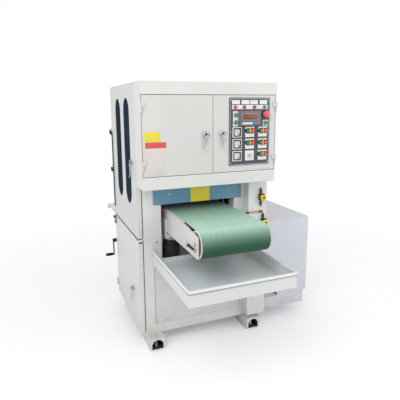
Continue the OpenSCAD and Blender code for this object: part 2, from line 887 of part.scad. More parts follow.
module control_panel() place() color("dimgray") {
    knob = cell(knob_cell);
    difference() {
        span([panel_x0, -panel_t, panel_z0], [panel_x0 + panel_w, 0, panel_z0 + panel_h]);
        rod_y([knob.x, -panel_t - over, knob.y], spindle_r + fit, panel_t + over);
    }
}

// Flat plate on the panel, given by its middle and size
module plate(c, w, h) span([c.x - w / 2, plate_y, c.y - h / 2], [c.x + w / 2, -panel_t, c.y + h / 2]);

// White face plates, and the square cases of the three ammeters
module label_plates() place() color("whitesmoke") {
    knob = cell(knob_cell);
    for (s = label_x_shares) plate([at_x(s), at_z(label_z_share)], label_w, label_h);
    plate([at_x(column_shares[1]), at_z(lamp_z_share)], strip_w, strip_h);
    plate((jog_at(0) + jog_at(1)) / 2, jog_plate_w, jog_plate_h);
    plate(jog_at(2), jog_plate_w, jog_plate_w);
    for (c = twin_cells) plate(cell(c), plate_w, plate_w);
    difference() {
        plate(knob, plate_w, plate_w);
        rod_y([knob.x, plate_y - over, knob.y], spindle_r + fit, plate_t + 2 * over);
    }
    for (r = [0:2]) {
        m = cell([0, r]);
        half = plate_w / 2;
        inner = half - meter_wall;
        face = -panel_t - meter_t;
        difference() {
            span([m.x - half, face, m.y - half], [m.x + half, -panel_t, m.y + half]);
            span([m.x - inner, face - over, m.y - inner], [m.x + inner, face + meter_d, m.y + inner]);
        }
    }
}

// Middle of a twin switch's start (side -1) or stop (side 1) button
function twin_at(i, side) = cell(twin_cells[i]) + [side * twin_pitch / 2, twin_rise];

// Round collar with a guide bore, standing on a face plate
module collar(c, r, h) {
    difference() {
        rod_y([c.x, plate_y - h, c.y], r + collar_wall, h);
        rod_y([c.x, plate_y - h - over, c.y], r + fit, h + over);
    }
}

// Display unit, indicator lamps, twin-switch bezels and button collars
module panel_devices() place() color(black_colour) {
    d = [at_x(display_share[0]), at_z(display_share[1])];
    difference() {
        span([d.x - display_w / 2, -panel_t - display_t, d.y - display_h / 2],
             [d.x + display_w / 2, -panel_t, d.y + display_h / 2]);
        span([d.x - glass_w / 2, -panel_t - display_t - over, d.y - glass_h / 2 + glass_rise],
             [d.x + glass_w / 2, -panel_t - display_t + glass_d, d.y + glass_h / 2 + glass_rise]);
    }
    for (s = lamp_x_shares) rod_y([at_x(s), plate_y - lamp_h, at_z(lamp_z_share)], lamp_r, lamp_h);
    for (i = [0:4]) {
        a = twin_at(i, -1);
        b = twin_at(i, 1);
        wall = button_r + bezel_wall;
        difference() {
            union() {
                for (q = [a, b]) rod_y([q.x, plate_y - bezel_h, q.y], wall, bezel_h);
                span([a.x, plate_y - bezel_h, a.y - button_r], [b.x, plate_y, b.y + button_r]);
                span([(a.x + b.x - lens_w) / 2, plate_y - lens_h, a.y - button_r],
                     [(a.x + b.x + lens_w) / 2, plate_y, a.y + button_r]);
            }
            for (q = [a, b])
                rod_y([q.x, plate_y - lens_h - over, q.y], button_r + fit, lens_h + 2 * over);
        }
    }
    for (i = [0:2]) collar(jog_at(i), jog_r, collar_h);
    e = estop_at();
    difference() {
        rod_y([e.x, -panel_t - collar_h, e.y], estop_stem_r + collar_wall, collar_h);
        rod_y([e.x, -panel_t - collar_h - over, e.y], estop_stem_r + fit, collar_h + over);
    }
}

// Push button: a plug that starts a travel clear of the plate behind it
module plug(c, r, h) rod_y([c.x, plate_y - h, c.y], r, h - push - slack);

module start_button(i) place() color("limegreen")
    plug(twin_at(i, -1), button_r, bezel_h + start_proud + push);

module stop_button(i) place() color("red")
    plug(twin_at(i, 1), button_r, bezel_h + stop_proud + push);

module jog_button(i) place() color("seagreen")
    plug(jog_at(i), jog_r, collar_h + start_proud + push);

module emergency_stop() place() color("red") {
    c = estop_at();
    head_y = -panel_t - collar_h - push - slack;
    rod_y([c.x, head_y, c.y], estop_stem_r, collar_h);
    rod_y([c.x, head_y - estop_head_h, c.y], stop_r, estop_head_h);
}

module speed_knob() place() color(dark_colour) {
    c = cell(knob_cell);
    y0 = plate_y - slack - knob_h;
    rod_y([c.x, y0, c.y], knob_r, knob_h);
    rod_y([c.x, y0, c.y], spindle_r, -slack - y0);
    span([c.x - plate_t, y0 - plate_t, c.y], [c.x + plate_t, y0 + over, c.y + knob_r]);
}

module valve_knob(i) place() color("gold") {
    v = valve_at(i);
    face = column_y0 - valve_d - slack;
    half = valve_knob_w / 2;
    span([v.x - half, face - valve_knob_t, v.y - half / 2], [v.x + half, face, v.y + half / 2]);
    rod_y([v.x, face - valve_knob_t, v.y], valve_knob_r, valve_knob_t);
    rod_y([v.x, face - over, v.y], valve_spindle_r, valve_d - sheet);
}

// Crank on the lift's cross shaft, with its grip pointing away from the machine
module hand_crank() place() color(black_colour) {
    arm_x1 = -crank_gap;
    arm_x0 = arm_x1 - crank_arm_t;
    grip_z = crank_z - crank_r;
    rod_x([arm_x0, crank_y, crank_z], crank_shaft_r, left_x + bearing_w - arm_x0);
    rod_x([arm_x0, crank_y, crank_z], crank_hub_r, crank_arm_t + crank_gap + left_x + sheet - slack);
    span([arm_x0, crank_y - crank_arm_w / 2, grip_z], [arm_x1, crank_y + crank_arm_w / 2, crank_z]);
    rod_x([arm_x0, crank_y, grip_z], crank_arm_w / 2, crank_arm_t);
    rod_x([arm_x0 - grip_l, crank_y, grip_z], grip_r, grip_l);
}

module dust_tray() place() color(frame_colour) {
    rim_z = tray_z - rim_r;
    difference() {
        union() {
            span([tray_x0, tray_y0, tray_bottom], [tray_x1, tray_y1, tray_bottom + skin_t]);
            for (x = [tray_x0, tray_x1 - skin_t]) {
                span([x, tray_y0, tray_bottom], [x + skin_t, tray_y1, rim_z]);
                rod_y([x + skin_t / 2, tray_y0 + skin_t / 2, rim_z], rim_r, tray_l - skin_t / 2);
            }
            span([tray_x0, tray_y0, tray_bottom], [tray_x1, tray_y0 + skin_t, rim_z]);
            rod_x([tray_x0 + skin_t / 2 - rim_r, tray_y0 + skin_t / 2, rim_z], rim_r,
                  tray_w - skin_t + 2 * rim_r);
            span([tray_x0, tray_y1 - skin_t, tray_bottom], [tray_x1, tray_y1, tray_bottom + tray_lip]);
        }
        for (k = [-1, 1])
            rod_z([mid_open_x + k * drain_pitch / 2, tray_y0 + tray_l * drain_share, tray_bottom - over],
                  drain_r, skin_t + 2 * over);
    }
}

// Side plate's outline in YZ: a long plate with a sloping cut at its front top corner
module cheek(x) {
    y0 = nose_y - cheek_end;
    y1 = tail_y + cheek_end;
    translate([x, 0, 0]) rotate([90, 0, 90]) linear_extrude(cheek_t)
        polygon([[y0, cheek_low], [y1, cheek_low], [y1, cheek_top], [y0 + nose_cut_l, cheek_top],
                 [y0, cheek_top - nose_cut_h]]);
}

// Screw that tightens the feed belt, with its block on the outside of a side plate
module tensioner(x) {
    size = tension_block;
    z = axis_z - tension_drop;
    y1 = nose_y + tension_l - size.y / 2;
    span([x, y1, z - size.z / 2], [x + size.x, y1 + size.y, z + size.z / 2]);
    y0 = nose_y - cheek_end + size.y / 2;
    rod_y([x + size.x / 2, y0, z], tension_r, y1 - y0 + over);
}

module conveyor_bed() place() color(frame_colour) {
    slide_z = axis_z + roller_r - slack;
    inner_x0 = cheek_x0 + cheek_t - over;
    inner_x1 = cheek_x1 - cheek_t + over;
    length = tail_y - nose_y;
    difference() {
        union() {
            cheek(cheek_x0);
            cheek(cheek_x1 - cheek_t);
            span([inner_x0, nose_y + roller_r, slide_z - slide_t], [inner_x1, tail_y - roller_r, slide_z]);
            for (s = tie_shares)
                span([inner_x0, nose_y + length * s, axis_z - tie_h],
                     [inner_x1, nose_y + length * s + tie_d, axis_z]);
            for (y = jack_ys) {
                span([cheek_x0 - hanger_t, y - beam_d / 2, beam_low],
                     [cheek_x1 + hanger_t, y + beam_d / 2, beam_top]);
                for (x = [cheek_x0 - hanger_t, cheek_x1 - over])
                    span([x, y - beam_d / 2, beam_low],
                         [x + hanger_t + over, y + beam_d / 2, beam_low + hanger_h]);
            }
            tensioner(cheek_x0 - tension_block.x + over);
            tensioner(cheek_x1 - over);
        }
        for (y = [nose_y, tail_y])
            rod_x([cheek_x0 - over, y, axis_z], shaft_r + fit, cheek_x1 - cheek_x0 + 2 * over);
    }
}

module feed_belt() place() color("mediumseagreen")
    belt_loop([[nose_y, axis_z], [tail_y, axis_z]], loop_r, belt_t, belt_x0, belt_w);

module roller(y, x1) {
    rod_x([belt_x0 + over, y, axis_z], roller_r, belt_w - 2 * over);
    rod_x([cheek_x0, y, axis_z], shaft_r, x1 - cheek_x0);
}

module front_roller() place() color(steel_colour) roller(nose_y, cheek_x1);
module rear_roller() place() color(steel_colour) roller(tail_y, cheek_x1 + drive_shaft_l);

// Gear motor on the rear roller's shaft
module feed_motor() place() color(dark_colour) {
    x0 = cheek_x1;
    difference() {
        union() {
            span([x0, tail_y - gearbox_h / 2, axis_z - gearbox_h / 2],
                 [x0 + gearbox_w, tail_y + gearbox_h / 2, axis_z + gearbox_h / 2]);
            rod_x([x0 + gearbox_w, tail_y, axis_z], motor_r, motor_l);
        }
        rod_x([x0 - over, tail_y, axis_z], shaft_r + fit, drive_shaft_l + 2 * over);
    }
}

// Lifting screws with their flanges, and the upper halves of the dust covers
module lift_screws() place() color(black_colour) {
    flange_z = beam_low - flange_h;
    cover_r = boot_r - boot_rib - boot_t - slack;
    for (x = jack_xs) for (y = jack_ys) {
        rod_z([x, y, flange_z], cover_r, flange_h);
        rod_z([x, y, screw_low], screw_r, flange_z - screw_low + over);
        ribbed_tube(x, y, cover_low, flange_z + over, cover_r, 1);
    }
}

// Cylinder that carries an abrasive belt, with its shaft running right to x1
module belt_wheel(d, x1) {
    x0 = abrasive_x0 - drum_edge;
    rod_x([x0, d[0], d[1]], d[2], abrasive_w + 2 * drum_edge);
    rod_x([x0 - shaft_r, d[0], d[1]], shaft_r, x1 - x0 + shaft_r);
}

module drum(i) place() color(dark_colour) {
    d = drum_places[i];
    belt_wheel(d, pulley_x0 + pulley_w);
    rod_x([pulley_x0, d[0], d[1]], pulley_r, pulley_w);
}

module idler(i) place() color(steel_colour) belt_wheel(idler_places[i], frame_x1);

base_frame();
base_feet();
levelling_bolts();
deck_plate();
upper_cabinet();
lower_front_panel();
guard_bar();
switch_column();
drive_housing();
rear_shelf();
hinge_pins();
column_fittings();
head_frame();
head_motors();
drive_belts();
abrasive_belts();
jack_sleeves();
front_left_door();
front_right_door();
upper_side_door();
lower_side_door();
window_screens();
control_panel();
label_plates();
panel_devices();
front_left_handle();
front_right_handle();
upper_side_handle();
lower_side_handle();
emergency_stop();
speed_knob();
hand_crank();
dust_tray();
conveyor_bed();
feed_belt();
front_roller();
rear_roller();
feed_motor();
lift_screws();
for (i = [0:2]) jog_button(i);
for (i = [0:4]) start_button(i);
for (i = [0:4]) stop_button(i);
for (i = [0:1]) valve_knob(i);
for (i = [0:2]) drum(i);
for (i = [0:2]) idler(i);
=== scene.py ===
import json
import math

import bpy
import numpy as np
from bpy.props import FloatProperty, FloatVectorProperty, IntProperty, PointerProperty
from mathutils import Matrix, Vector


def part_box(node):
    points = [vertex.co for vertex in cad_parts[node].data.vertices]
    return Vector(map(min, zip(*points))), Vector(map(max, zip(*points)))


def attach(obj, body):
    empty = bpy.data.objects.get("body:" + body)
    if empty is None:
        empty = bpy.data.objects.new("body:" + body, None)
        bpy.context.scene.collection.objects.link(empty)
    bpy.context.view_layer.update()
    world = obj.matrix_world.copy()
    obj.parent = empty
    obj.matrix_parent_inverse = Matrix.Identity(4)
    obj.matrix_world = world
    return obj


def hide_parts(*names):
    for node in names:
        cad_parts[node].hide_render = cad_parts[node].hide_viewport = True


bl_info = {
    "name": "Wide Belt Sander Looks",
    "version": (1, 0, 0),
    "blender": (4, 5, 0),
    "location": "View3D > Sidebar > Sander",
    "description": "Dresses a packed wide belt sander with its trim, controls, belts and finishes",
    "category": "Object",
}

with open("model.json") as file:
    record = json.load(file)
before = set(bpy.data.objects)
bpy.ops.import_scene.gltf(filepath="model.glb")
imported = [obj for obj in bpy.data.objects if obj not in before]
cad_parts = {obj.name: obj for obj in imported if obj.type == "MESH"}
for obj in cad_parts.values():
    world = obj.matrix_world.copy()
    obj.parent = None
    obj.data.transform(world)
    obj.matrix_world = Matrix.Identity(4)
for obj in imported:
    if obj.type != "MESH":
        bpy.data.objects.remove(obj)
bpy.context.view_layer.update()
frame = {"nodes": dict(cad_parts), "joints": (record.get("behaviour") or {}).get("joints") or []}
NODES = frame["nodes"]
JOINTS = {joint["name"]: joint for joint in frame["joints"]}
TURN = 2 * math.pi
MM = 0.001
X, Y, Z = np.eye(3)
SHARP_EDGE = math.radians(38)
LABEL_THICK = 1.5
PAD_RADIUS = 24


def linear(red, green, blue):
    """Linear colour of an 8-bit display colour."""
    share = np.array([red, green, blue]) / 255
    return tuple(np.where(share < 0.04045, share / 12.92, ((share + 0.055) / 1.055) ** 2.4).tolist())


def box_of(node):
    """Lowest and highest corner of a CAD node, in millimetres."""
    low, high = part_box(node)
    return np.array(low) / MM, np.array(high) / MM


def middle_of(node):
    return sum(box_of(node)) / 2


def joint_place(name):
    return np.array(JOINTS[name]["pos_m"]) / MM


CORNER = box_of("upper_cabinet")[0] * (1, 1, 0)


def spot(x, y, z):
    """Point measured from the cabinet's front left corner, with its height from the floor."""
    return CORNER + (x, y, z)


def four_corners(node, inset):
    """Middles of four posts in the corners of a CAD node: x, y and which way the other row lies."""
    low, high = box_of(node)
    return [(x, y, way) for x in (low[0] + inset, high[0] - inset)
            for y, way in ((low[1] + inset, 1), (high[1] - inset, -1))]


# Shapes, in millimetres. Each one is a tuple of points, quads and triangles


def columns(*values):
    """Table with the values as its columns. A single number fills its column."""
    return np.stack(np.broadcast_arrays(*values), 1)


def unit(v):
    v = np.asarray(v, float)
    return v / np.linalg.norm(v, axis=-1, keepdims=True)


def outward(points, quads, triangles):
    """Turns every face round if the volume under the faces, a sum of triple products, is negative."""
    halves = np.concatenate([quads[:, [0, 1, 2]], quads[:, [0, 2, 3]], triangles])
    a, b, c = (points[halves[:, k]] for k in range(3))
    if np.einsum("ij,ij->", a, np.cross(b, c)) < 0:
        quads, triangles = quads[:, ::-1], triangles[:, ::-1]
    return points, quads, triangles


def stitch(grid, close_rows=False, start=None, end=None):
    """Joins a grid of points into quads. Its columns run round and close. Its rows close too if asked,
    and a start or end point closes the first or last row with a fan."""
    rows, count = grid.shape[:2]
    i, j = (k.ravel() for k in np.mgrid[0:rows if close_rows else rows - 1, 0:count])
    ahead, beside = (i + 1) % rows, (j + 1) % count
    quads = columns(i * count + j, i * count + beside, ahead * count + beside, ahead * count + j)
    points = grid.reshape(-1, 3)
    ring = np.arange(count)
    after = (ring + 1) % count
    fans = [np.zeros((0, 3), int)]
    if start is not None:
        fans.append(columns(len(points), after, ring))
        points = np.vstack([points, start])
    if end is not None:
        last = (rows - 1) * count
        fans.append(columns(len(points), last + ring, last + after))
        points = np.vstack([points, end])
    return outward(points, quads, np.concatenate(fans))


def capped(grid):
    """Grid of points whose first and last row close onto their own middles."""
    return stitch(grid, start=grid[0].mean(0), end=grid[-1].mean(0))


def lathe(profile, origin, axis, segments=32, flutes=0, flute_depth=0.0, ring=False):
    """Turns a profile of (radius, distance) pairs about an axis. The point at angle t lies at the
    origin, plus the distance along the axis, plus the radius times one plus flute_depth times
    cos(flutes t) along the spoke at t. A ring's profile is a closed loop that stays off the axis."""
    profile = np.asarray(profile, float)
    origin, axis = np.asarray(origin, float), unit(axis)
    side = unit(np.cross(axis, Z if abs(axis[2]) < 0.9 else X))
    t = np.arange(segments) * TURN / segments
    spokes = np.cos(t)[:, None] * side + np.sin(t)[:, None] * np.cross(axis, side)
    spokes = spokes * (1 + flute_depth * np.cos(flutes * t))[:, None]
    rows = profile if ring else profile[1:-1]
    grid = origin + rows[:, 1, None, None] * axis + rows[:, 0, None, None] * spokes
    if ring:
        return stitch(grid, close_rows=True)
    return stitch(grid, start=origin + profile[0, 1] * axis, end=origin + profile[-1, 1] * axis)


def soft_rod(origin, axis, radius, length, soft=0.8, segments=24):
    """Rod with rounded rims: a lathe whose rim follows a quarter circle of radius soft."""
    bend = np.linspace(0, TURN / 4, 4)
    rim = columns(radius - soft + soft * np.sin(bend), soft - soft * np.cos(bend))
    top = columns(rim[::-1, 0], length - rim[::-1, 1])
    return lathe(np.vstack([[0, 0], rim, top, [0, length]]), origin, axis, segments)


def outline(low, high, corner, arcs):
    """Rounded rectangle: four quarter circles. Returns their centres and the outward directions."""
    angles = (np.arange(4)[:, None] * TURN / 4 + np.linspace(0, TURN / 4, arcs)).ravel()
    signs = np.repeat([[1, 1], [-1, 1], [-1, -1], [1, -1]], arcs, 0)
    return (low + high) / 2 + signs * ((high - low) / 2 - corner), columns(np.cos(angles), np.sin(angles))


def plane_axes(axis):
    return [k for k in range(3) if k != axis]


def slab(low, high, axis, corner, soft):
    """Plate with round corners and soft rims. Row by row, the rounded rectangle is inset by
    soft(1 - sin b) at the depth soft(1 - cos b), from one face over the side to the other."""
    low, high = np.minimum(low, high), np.maximum(low, high)
    flat = plane_axes(axis)
    corner = min(corner, *((high - low)[flat] / 2.001))
    soft = min(soft, corner, (high - low)[axis] / 2)
    bend = np.linspace(0, TURN / 4, 4)
    inset, depth = soft * (1 - np.sin(bend)), soft * (1 - np.cos(bend))
    inset = np.concatenate([inset, inset[::-1]])
    depth = np.concatenate([low[axis] + depth, high[axis] - depth[::-1]])
    centres, out = outline(low[flat], high[flat], corner, 5)
    grid = np.empty((len(inset), len(out), 3))
    grid[:, :, flat] = centres + (corner - inset)[:, None, None] * out
    grid[:, :, axis] = depth[:, None]
    ends = np.tile((low + high) / 2, (2, 1))
    ends[:, axis] = low[axis], high[axis]
    return stitch(grid, start=ends[0], end=ends[1])


def block(xs, ys, zs, corner, soft, axis=1):
    """Slab between pairs of distances from the cabinet's corner."""
    low, high = columns(xs, ys, zs)
    return slab(spot(*low), spot(*high), axis, corner, soft)


def edging(low, high, axis, level, corner, section):
    """Carries a closed section round a rounded rectangle. A section point (a, b) lies a outward from
    the rectangle's line and b along the axis from the level."""
    flat = plane_axes(axis)
    centres, out = outline(np.asarray(low)[flat], np.asarray(high)[flat], corner, 7)
    grid = np.empty((len(out), len(section), 3))
    grid[:, :, flat] = (centres + corner * out)[:, None] + section[:, 0, None] * out[:, None]
    grid[:, :, axis] = level + section[:, 1]
    return stitch(grid, close_rows=True)


def oblong(width, height, soft, rise=0):
    """Closed section: a rectangle with cut corners, centred on zero and lifted by rise."""
    w, h = width / 2, height / 2
    return np.array([(w, h - soft), (w - soft, h), (soft - w, h), (-w, h - soft),
                     (-w, soft - h), (soft - w, -h), (w - soft, -h), (w, soft - h)]) + (0, rise)


def bezier(points, count=24):
    """Bezier curve: the sum of the points weighted by the Bernstein polynomials of t."""
    points = np.asarray(points, float)
    n = len(points) - 1
    t = np.linspace(0, 1, count)[:, None]
    k = np.arange(n + 1)
    weights = np.array([math.comb(n, i) for i in k]) * t ** k * (1 - t) ** (n - k)
    return weights @ points


def taper(path, shares, radii):
    """Radius at each point of a path, between radii at shares of its length."""
    return np.interp(np.linspace(0, 1, len(path)), shares, radii)


def tube(path, radius, up, thin=1.0, sides=14):
    """Carries an ellipse along a path. At each point it spans the sideways direction, square to the
    path and to up, by the radius, and the direction square to both by thin times the radius."""
    path = np.asarray(path, float)
    ahead = unit(np.gradient(path, axis=0))
    side = unit(np.cross(ahead, up))
    lift = np.cross(side, ahead)
    t = np.arange(sides)[:, None] * TURN / sides
    radius = np.broadcast_to(radius, len(path))[:, None, None]
    grid = path[:, None] + radius * (thin * np.cos(t) * lift[:, None] + np.sin(t) * side[:, None])
    return stitch(grid, start=path[0], end=path[-1])


def screw_head(centre, out, radius):
    """Low domed screw head: a lathe whose height falls off as the radius grows."""
    profile = [(0, 0), (1, 0), (1, 0.22), (0.93, 0.38), (0.75, 0.52), (0.45, 0.6), (0.4, 0.45), (0, 0.45)]
    return lathe(np.array(profile) * radius, centre, out, 20)


def hex_head(centre, out, radius, height):
    """Six-sided head: a lathe of six segments with a chamfered top."""
    profile = [(0, 0), (radius, 0), (radius, 0.85 * height), (0.88 * radius, height), (0, height)]
    return lathe(profile, centre, out, 6)


def piece(name, parts, body, stands_for=()):
    """Joins shapes, each group of them listed after its material, into one object that rides on a body."""
    points, faces, finishes, places = [], [], [], []
    count = 0
    for material, *shapes in parts:
        if material not in finishes:
            finishes.append(material)
        for p, quads, triangles in shapes:
            points.append(p)
            faces += (quads + count).tolist() + (triangles + count).tolist()
            places += [finishes.index(material)] * (len(quads) + len(triangles))
            count += len(p)
    mesh = bpy.data.meshes.new(name)
    mesh.from_pydata((np.concatenate(points) * MM).tolist(), [], faces)
    for material in finishes:
        mesh.materials.append(material)
    mesh.polygons.foreach_set("material_index", places)
    mesh.polygons.foreach_set("use_smooth", [True] * len(faces))
    mesh.set_sharp_from_angle(angle=SHARP_EDGE)
    mesh.update()
    item = bpy.data.objects.new(name, mesh)
    bpy.context.scene.collection.objects.link(item)
    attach(item, body)
    if stands_for:
        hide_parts(*stands_for)


def dress(material, *nodes):
    """Gives CAD nodes a material."""
    for node in nodes:
        mesh = NODES[node].data
        mesh.materials.clear()
        mesh.materials.append(material)


# Shader nodes. Each function adds to a tree and returns a socket


def fill(tree, socket, value):
    """Links a socket to another, or sets its value. A colour of three numbers gets an alpha of one."""
    if isinstance(value, bpy.types.NodeSocket):
        tree.links.new(value, socket)
    elif socket.type == "RGBA":
        socket.default_value = (*tuple(value)[:3], 1.0)
    else:
        socket.default_value = value


def put(tree, kind, inputs, output=0, **settings):
    """Adds a node with settings and inputs and returns one of its outputs."""
    node = tree.nodes.new("ShaderNode" + kind)
    for name, value in settings.items():
        setattr(node, name, value)
    for name, value in inputs.items():
        fill(tree, node.inputs[name], value)
    return node.outputs[output]


def tint(tree, share, low, high):
    """Colour between low and high."""
    return put(tree, "Mix", {0: share, 6: low, 7: high}, 2, data_type="RGBA")


def ramp(tree, value, low, high, bottom=0.0, top=1.0):
    """Maps low to high onto bottom to top, clamped."""
    return put(tree, "MapRange",
               {"Value": value, "From Min": low, "From Max": high, "To Min": bottom, "To Max": top})


def maths(tree, operation, *values):
    return put(tree, "Math", dict(enumerate(values)), operation=operation)


def times(tree, a, b):
    return maths(tree, "MULTIPLY", a, b)


def either(tree, a, b):
    return maths(tree, "MAXIMUM", a, b)


def object_place(tree):
    return put(tree, "TexCoord", {}, "Object")


def own_normal(tree):
    return put(tree, "NewGeometry", {}, "Normal")


def share_along(tree, vector, axis):
    return put(tree, "SeparateXYZ", {0: vector}, axis)


def noise(tree, scale, detail, roughness=0.5, place=None):
    place = place or object_place(tree)
    inputs = {"Vector": place, "Scale": scale, "Detail": detail, "Roughness": roughness}
    return put(tree, "TexNoise", inputs, "Fac")


def seen_directly(tree):
    """One for rays from the camera, mirrors and glass, and zero for all others."""
    path = tree.nodes.new("ShaderNodeLightPath").outputs
    bent = either(tree, path["Is Glossy Ray"], path["Is Transmission Ray"])
    return either(tree, path["Is Camera Ray"], bent)


# Shared node groups. Each function fills one from its inputs and returns its outputs


def edge_wear(group, source):
    """Edges and corners: where the rounded normal leaves the face's own normal, broken up by noise."""
    rounded = put(group, "Bevel", {"Radius": source["Radius"]}, samples=4)
    turn = put(group, "VectorMath", {0: rounded, 1: own_normal(group)}, "Value", operation="DOT_PRODUCT")
    chips = ramp(group, noise(group, source["Breakup"], 5.0, 0.65), 0.5, 0.66)
    return {"Mask": times(group, ramp(group, turn, 0.985, 0.82), chips), "Normal": rounded}


def paint_film(group, source):
    """Sprayed paint: slow patches of tone, and a fine orange-peel height."""
    return {"Tone": ramp(group, noise(group, source["Patches"], 5.0, 0.6), 0.3, 0.7),
            "Height": noise(group, source["Peel"], 2.0)}


def workshop_dust(group, source):
    """Dust that settles on level faces, and grime that rises from the floor."""
    level = ramp(group, share_along(group, own_normal(group), 2), 0.6, 0.95)
    drift = ramp(group, noise(group, source["Speckle"], 6.0, 0.7), 0.35, 0.75)
    low = ramp(group, share_along(group, object_place(group), 2), 0.0, source["Reach"], 1.0, 0.0)
    smear = ramp(group, noise(group, 14.0, 5.0, 0.65), 0.35, 0.7)
    return {"Dust": times(group, level, drift), "Grime": times(group, low, smear)}


def brush_lines(group, source):
    """Brushed metal: noise drawn out by unequal scales along X, Y and Z."""
    place = put(group, "VectorMath", {0: object_place(group), 1: source["Stretch"]}, operation="MULTIPLY")
    lines = noise(group, 1.0, 4.0, 0.6, place)
    return {"Tone": ramp(group, lines, 0.3, 0.7), "Height": lines}


GROUP_INPUTS = {
    edge_wear: {"Radius": 0.002, "Breakup": 60.0},
    paint_film: {"Patches": 2.5, "Peel": 420.0},
    workshop_dust: {"Speckle": 90.0, "Reach": 0.3},
    brush_lines: {"Stretch": (12.0, 900.0, 900.0)},
}


def new_group(recipe, name):
    """Makes a node group with number inputs, or vector inputs where the default has three parts."""
    group = bpy.data.node_groups.new(name, "ShaderNodeTree")
    for label, default in GROUP_INPUTS[recipe].items():
        kind = "NodeSocketFloat" if isinstance(default, float) else "NodeSocketVector"
        group.interface.new_socket(label, in_out="INPUT", socket_type=kind).default_value = default
    made = recipe(group, group.nodes.new("NodeGroupInput").outputs)
    for label in made:
        kind = "NodeSocketVector" if label == "Normal" else "NodeSocketFloat"
        group.interface.new_socket(label, in_out="OUTPUT", socket_type=kind)
    target = group.nodes.new("NodeGroupOutput").inputs
    for label, socket in made.items():
        fill(group, target[label], socket)
    return group


def use(tree, recipe, **values):
    """Places a node group, made when first used, and returns its outputs."""
    name = recipe.__name__.replace("_", " ").title()
    node = tree.nodes.new("ShaderNodeGroup")
    node.node_tree = bpy.data.node_groups.get(name) or new_group(recipe, name)
    for label, value in values.items():
        fill(tree, node.inputs[label], value)
    return node.outputs


# Materials

WOOD_DUST = linear(176, 160, 136)
FLOOR_GRIME = linear(120, 114, 106)
BARE_STEEL = linear(120, 118, 116)
DUST_ON_RUBBER = linear(170, 156, 132)
DUST_ON_BELT = linear(200, 206, 190)
DUST_IN_GRIT = linear(190, 160, 120)
# Paler green laid on the feed belt's upturned faces as a painted sheen
BELT_SHEEN = linear(186, 226, 206)
BELT_FABRIC = linear(236, 232, 222)


def once(maker):
    """Lets a maker run only if no material has the name yet."""
    def look(name, colour, **settings):
        return bpy.data.materials.get(name) or maker(name, colour, **settings)
    return look


def new_material(name, colour, **sockets):
    """Starts a material and sets the plain values of its shader. Returns it, its tree and its colour."""
    material = bpy.data.materials.new(name)
    material.use_nodes = True
    tree = material.node_tree
    for label, value in sockets.items():
        fill(tree, tree.nodes["Principled BSDF"].inputs[label.replace("_", " ")], value)
    return material, tree, np.array(colour)


def mottle(tree, tone, colour, dark, bright, most=0.95):
    """Colour that swings between a darker and a brighter shade of itself."""
    return tint(tree, tone, colour * dark, np.minimum(colour * bright, most))


def spread(tree, tone, low, high):
    return ramp(tree, tone, 0.0, 1.0, low, high)


def layer(tree, base, share, amount, colour):
    """Lays a colour over a base where the share says so, by at most the amount."""
    return tint(tree, times(tree, share, amount), base, colour)


def finish(tree, base, rough, height, normal, depth):
    """Gives the shader its colour, its roughness and a normal that follows a height."""
    shader = tree.nodes["Principled BSDF"].inputs
    fill(tree, shader["Base Color"], base)
    fill(tree, shader["Roughness"], rough)
    fill(tree, shader["Normal"], put(tree, "Bump", {"Height": height, "Normal": normal, "Distance": depth}))


@once
def paint(name, colour, rough=0.38, edge=0.003, wear=0.35, dust=0.25, grime=0.35):
    """Sprayed sheet metal with rounded, chipped edges, settled dust and grime near the floor."""
    material, tree, colour = new_material(name, colour)
    film, edges, dirt = use(tree, paint_film), use(tree, edge_wear, Radius=edge), use(tree, workshop_dust)
    base = mottle(tree, film["Tone"], colour, 0.94, 1.03)
    base = layer(tree, base, dirt["Dust"], dust, WOOD_DUST)
    base = layer(tree, base, dirt["Grime"], grime, FLOOR_GRIME)
    base = layer(tree, base, edges["Mask"], wear, BARE_STEEL)
    gloss = spread(tree, film["Tone"], rough - 0.06, rough + 0.08)
    gloss = either(tree, gloss, times(tree, dirt["Dust"], 0.8))
    finish(tree, base, gloss, film["Height"], edges["Normal"], 0.00012)
    return material


@once
def plastic(name, colour, rough=0.4, depth=0.00006, shine=0.5):
    """Moulded plastic with a fine grain, soft edges and slight scuffs."""
    material, tree, colour = new_material(name, colour, Specular_IOR_Level=shine)
    film = use(tree, paint_film, Patches=18.0, Peel=1400.0)
    edges = use(tree, edge_wear, Radius=0.0012, Breakup=220.0)
    base = mottle(tree, film["Tone"], colour, 0.9, 1.06)
    base = layer(tree, base, edges["Mask"], 0.3, np.minimum(colour * 1.3 + 0.05, 0.95))
    gloss = spread(tree, film["Tone"], rough - 0.07, rough + 0.1)
    finish(tree, base, gloss, film["Height"], edges["Normal"], depth)
    return material


@once
def metal(name, colour, rough=0.3, stretch=(12.0, 900.0, 900.0), tarnish=0.25):
    """Machined metal with brush lines, bright edges and patches of tarnish."""
    material, tree, colour = new_material(name, colour, Metallic=1.0)
    lines = use(tree, brush_lines, Stretch=stretch)
    edges = use(tree, edge_wear, Radius=0.001, Breakup=150.0)
    patches = ramp(tree, noise(tree, 22.0, 6.0, 0.65), 0.48, 0.7, 0.0, tarnish)
    base = mottle(tree, lines["Tone"], colour, 0.86, 1.08, 0.97)
    base = tint(tree, patches, base, colour * 0.45)
    base = tint(tree, edges["Mask"], base, np.minimum(colour * 1.25, 0.97))
    gloss = spread(tree, lines["Tone"], rough - 0.05, rough + 0.1)
    gloss = either(tree, gloss, times(tree, patches, 1.6))
    finish(tree, base, gloss, lines["Height"], edges["Normal"], 0.00004)
    return material


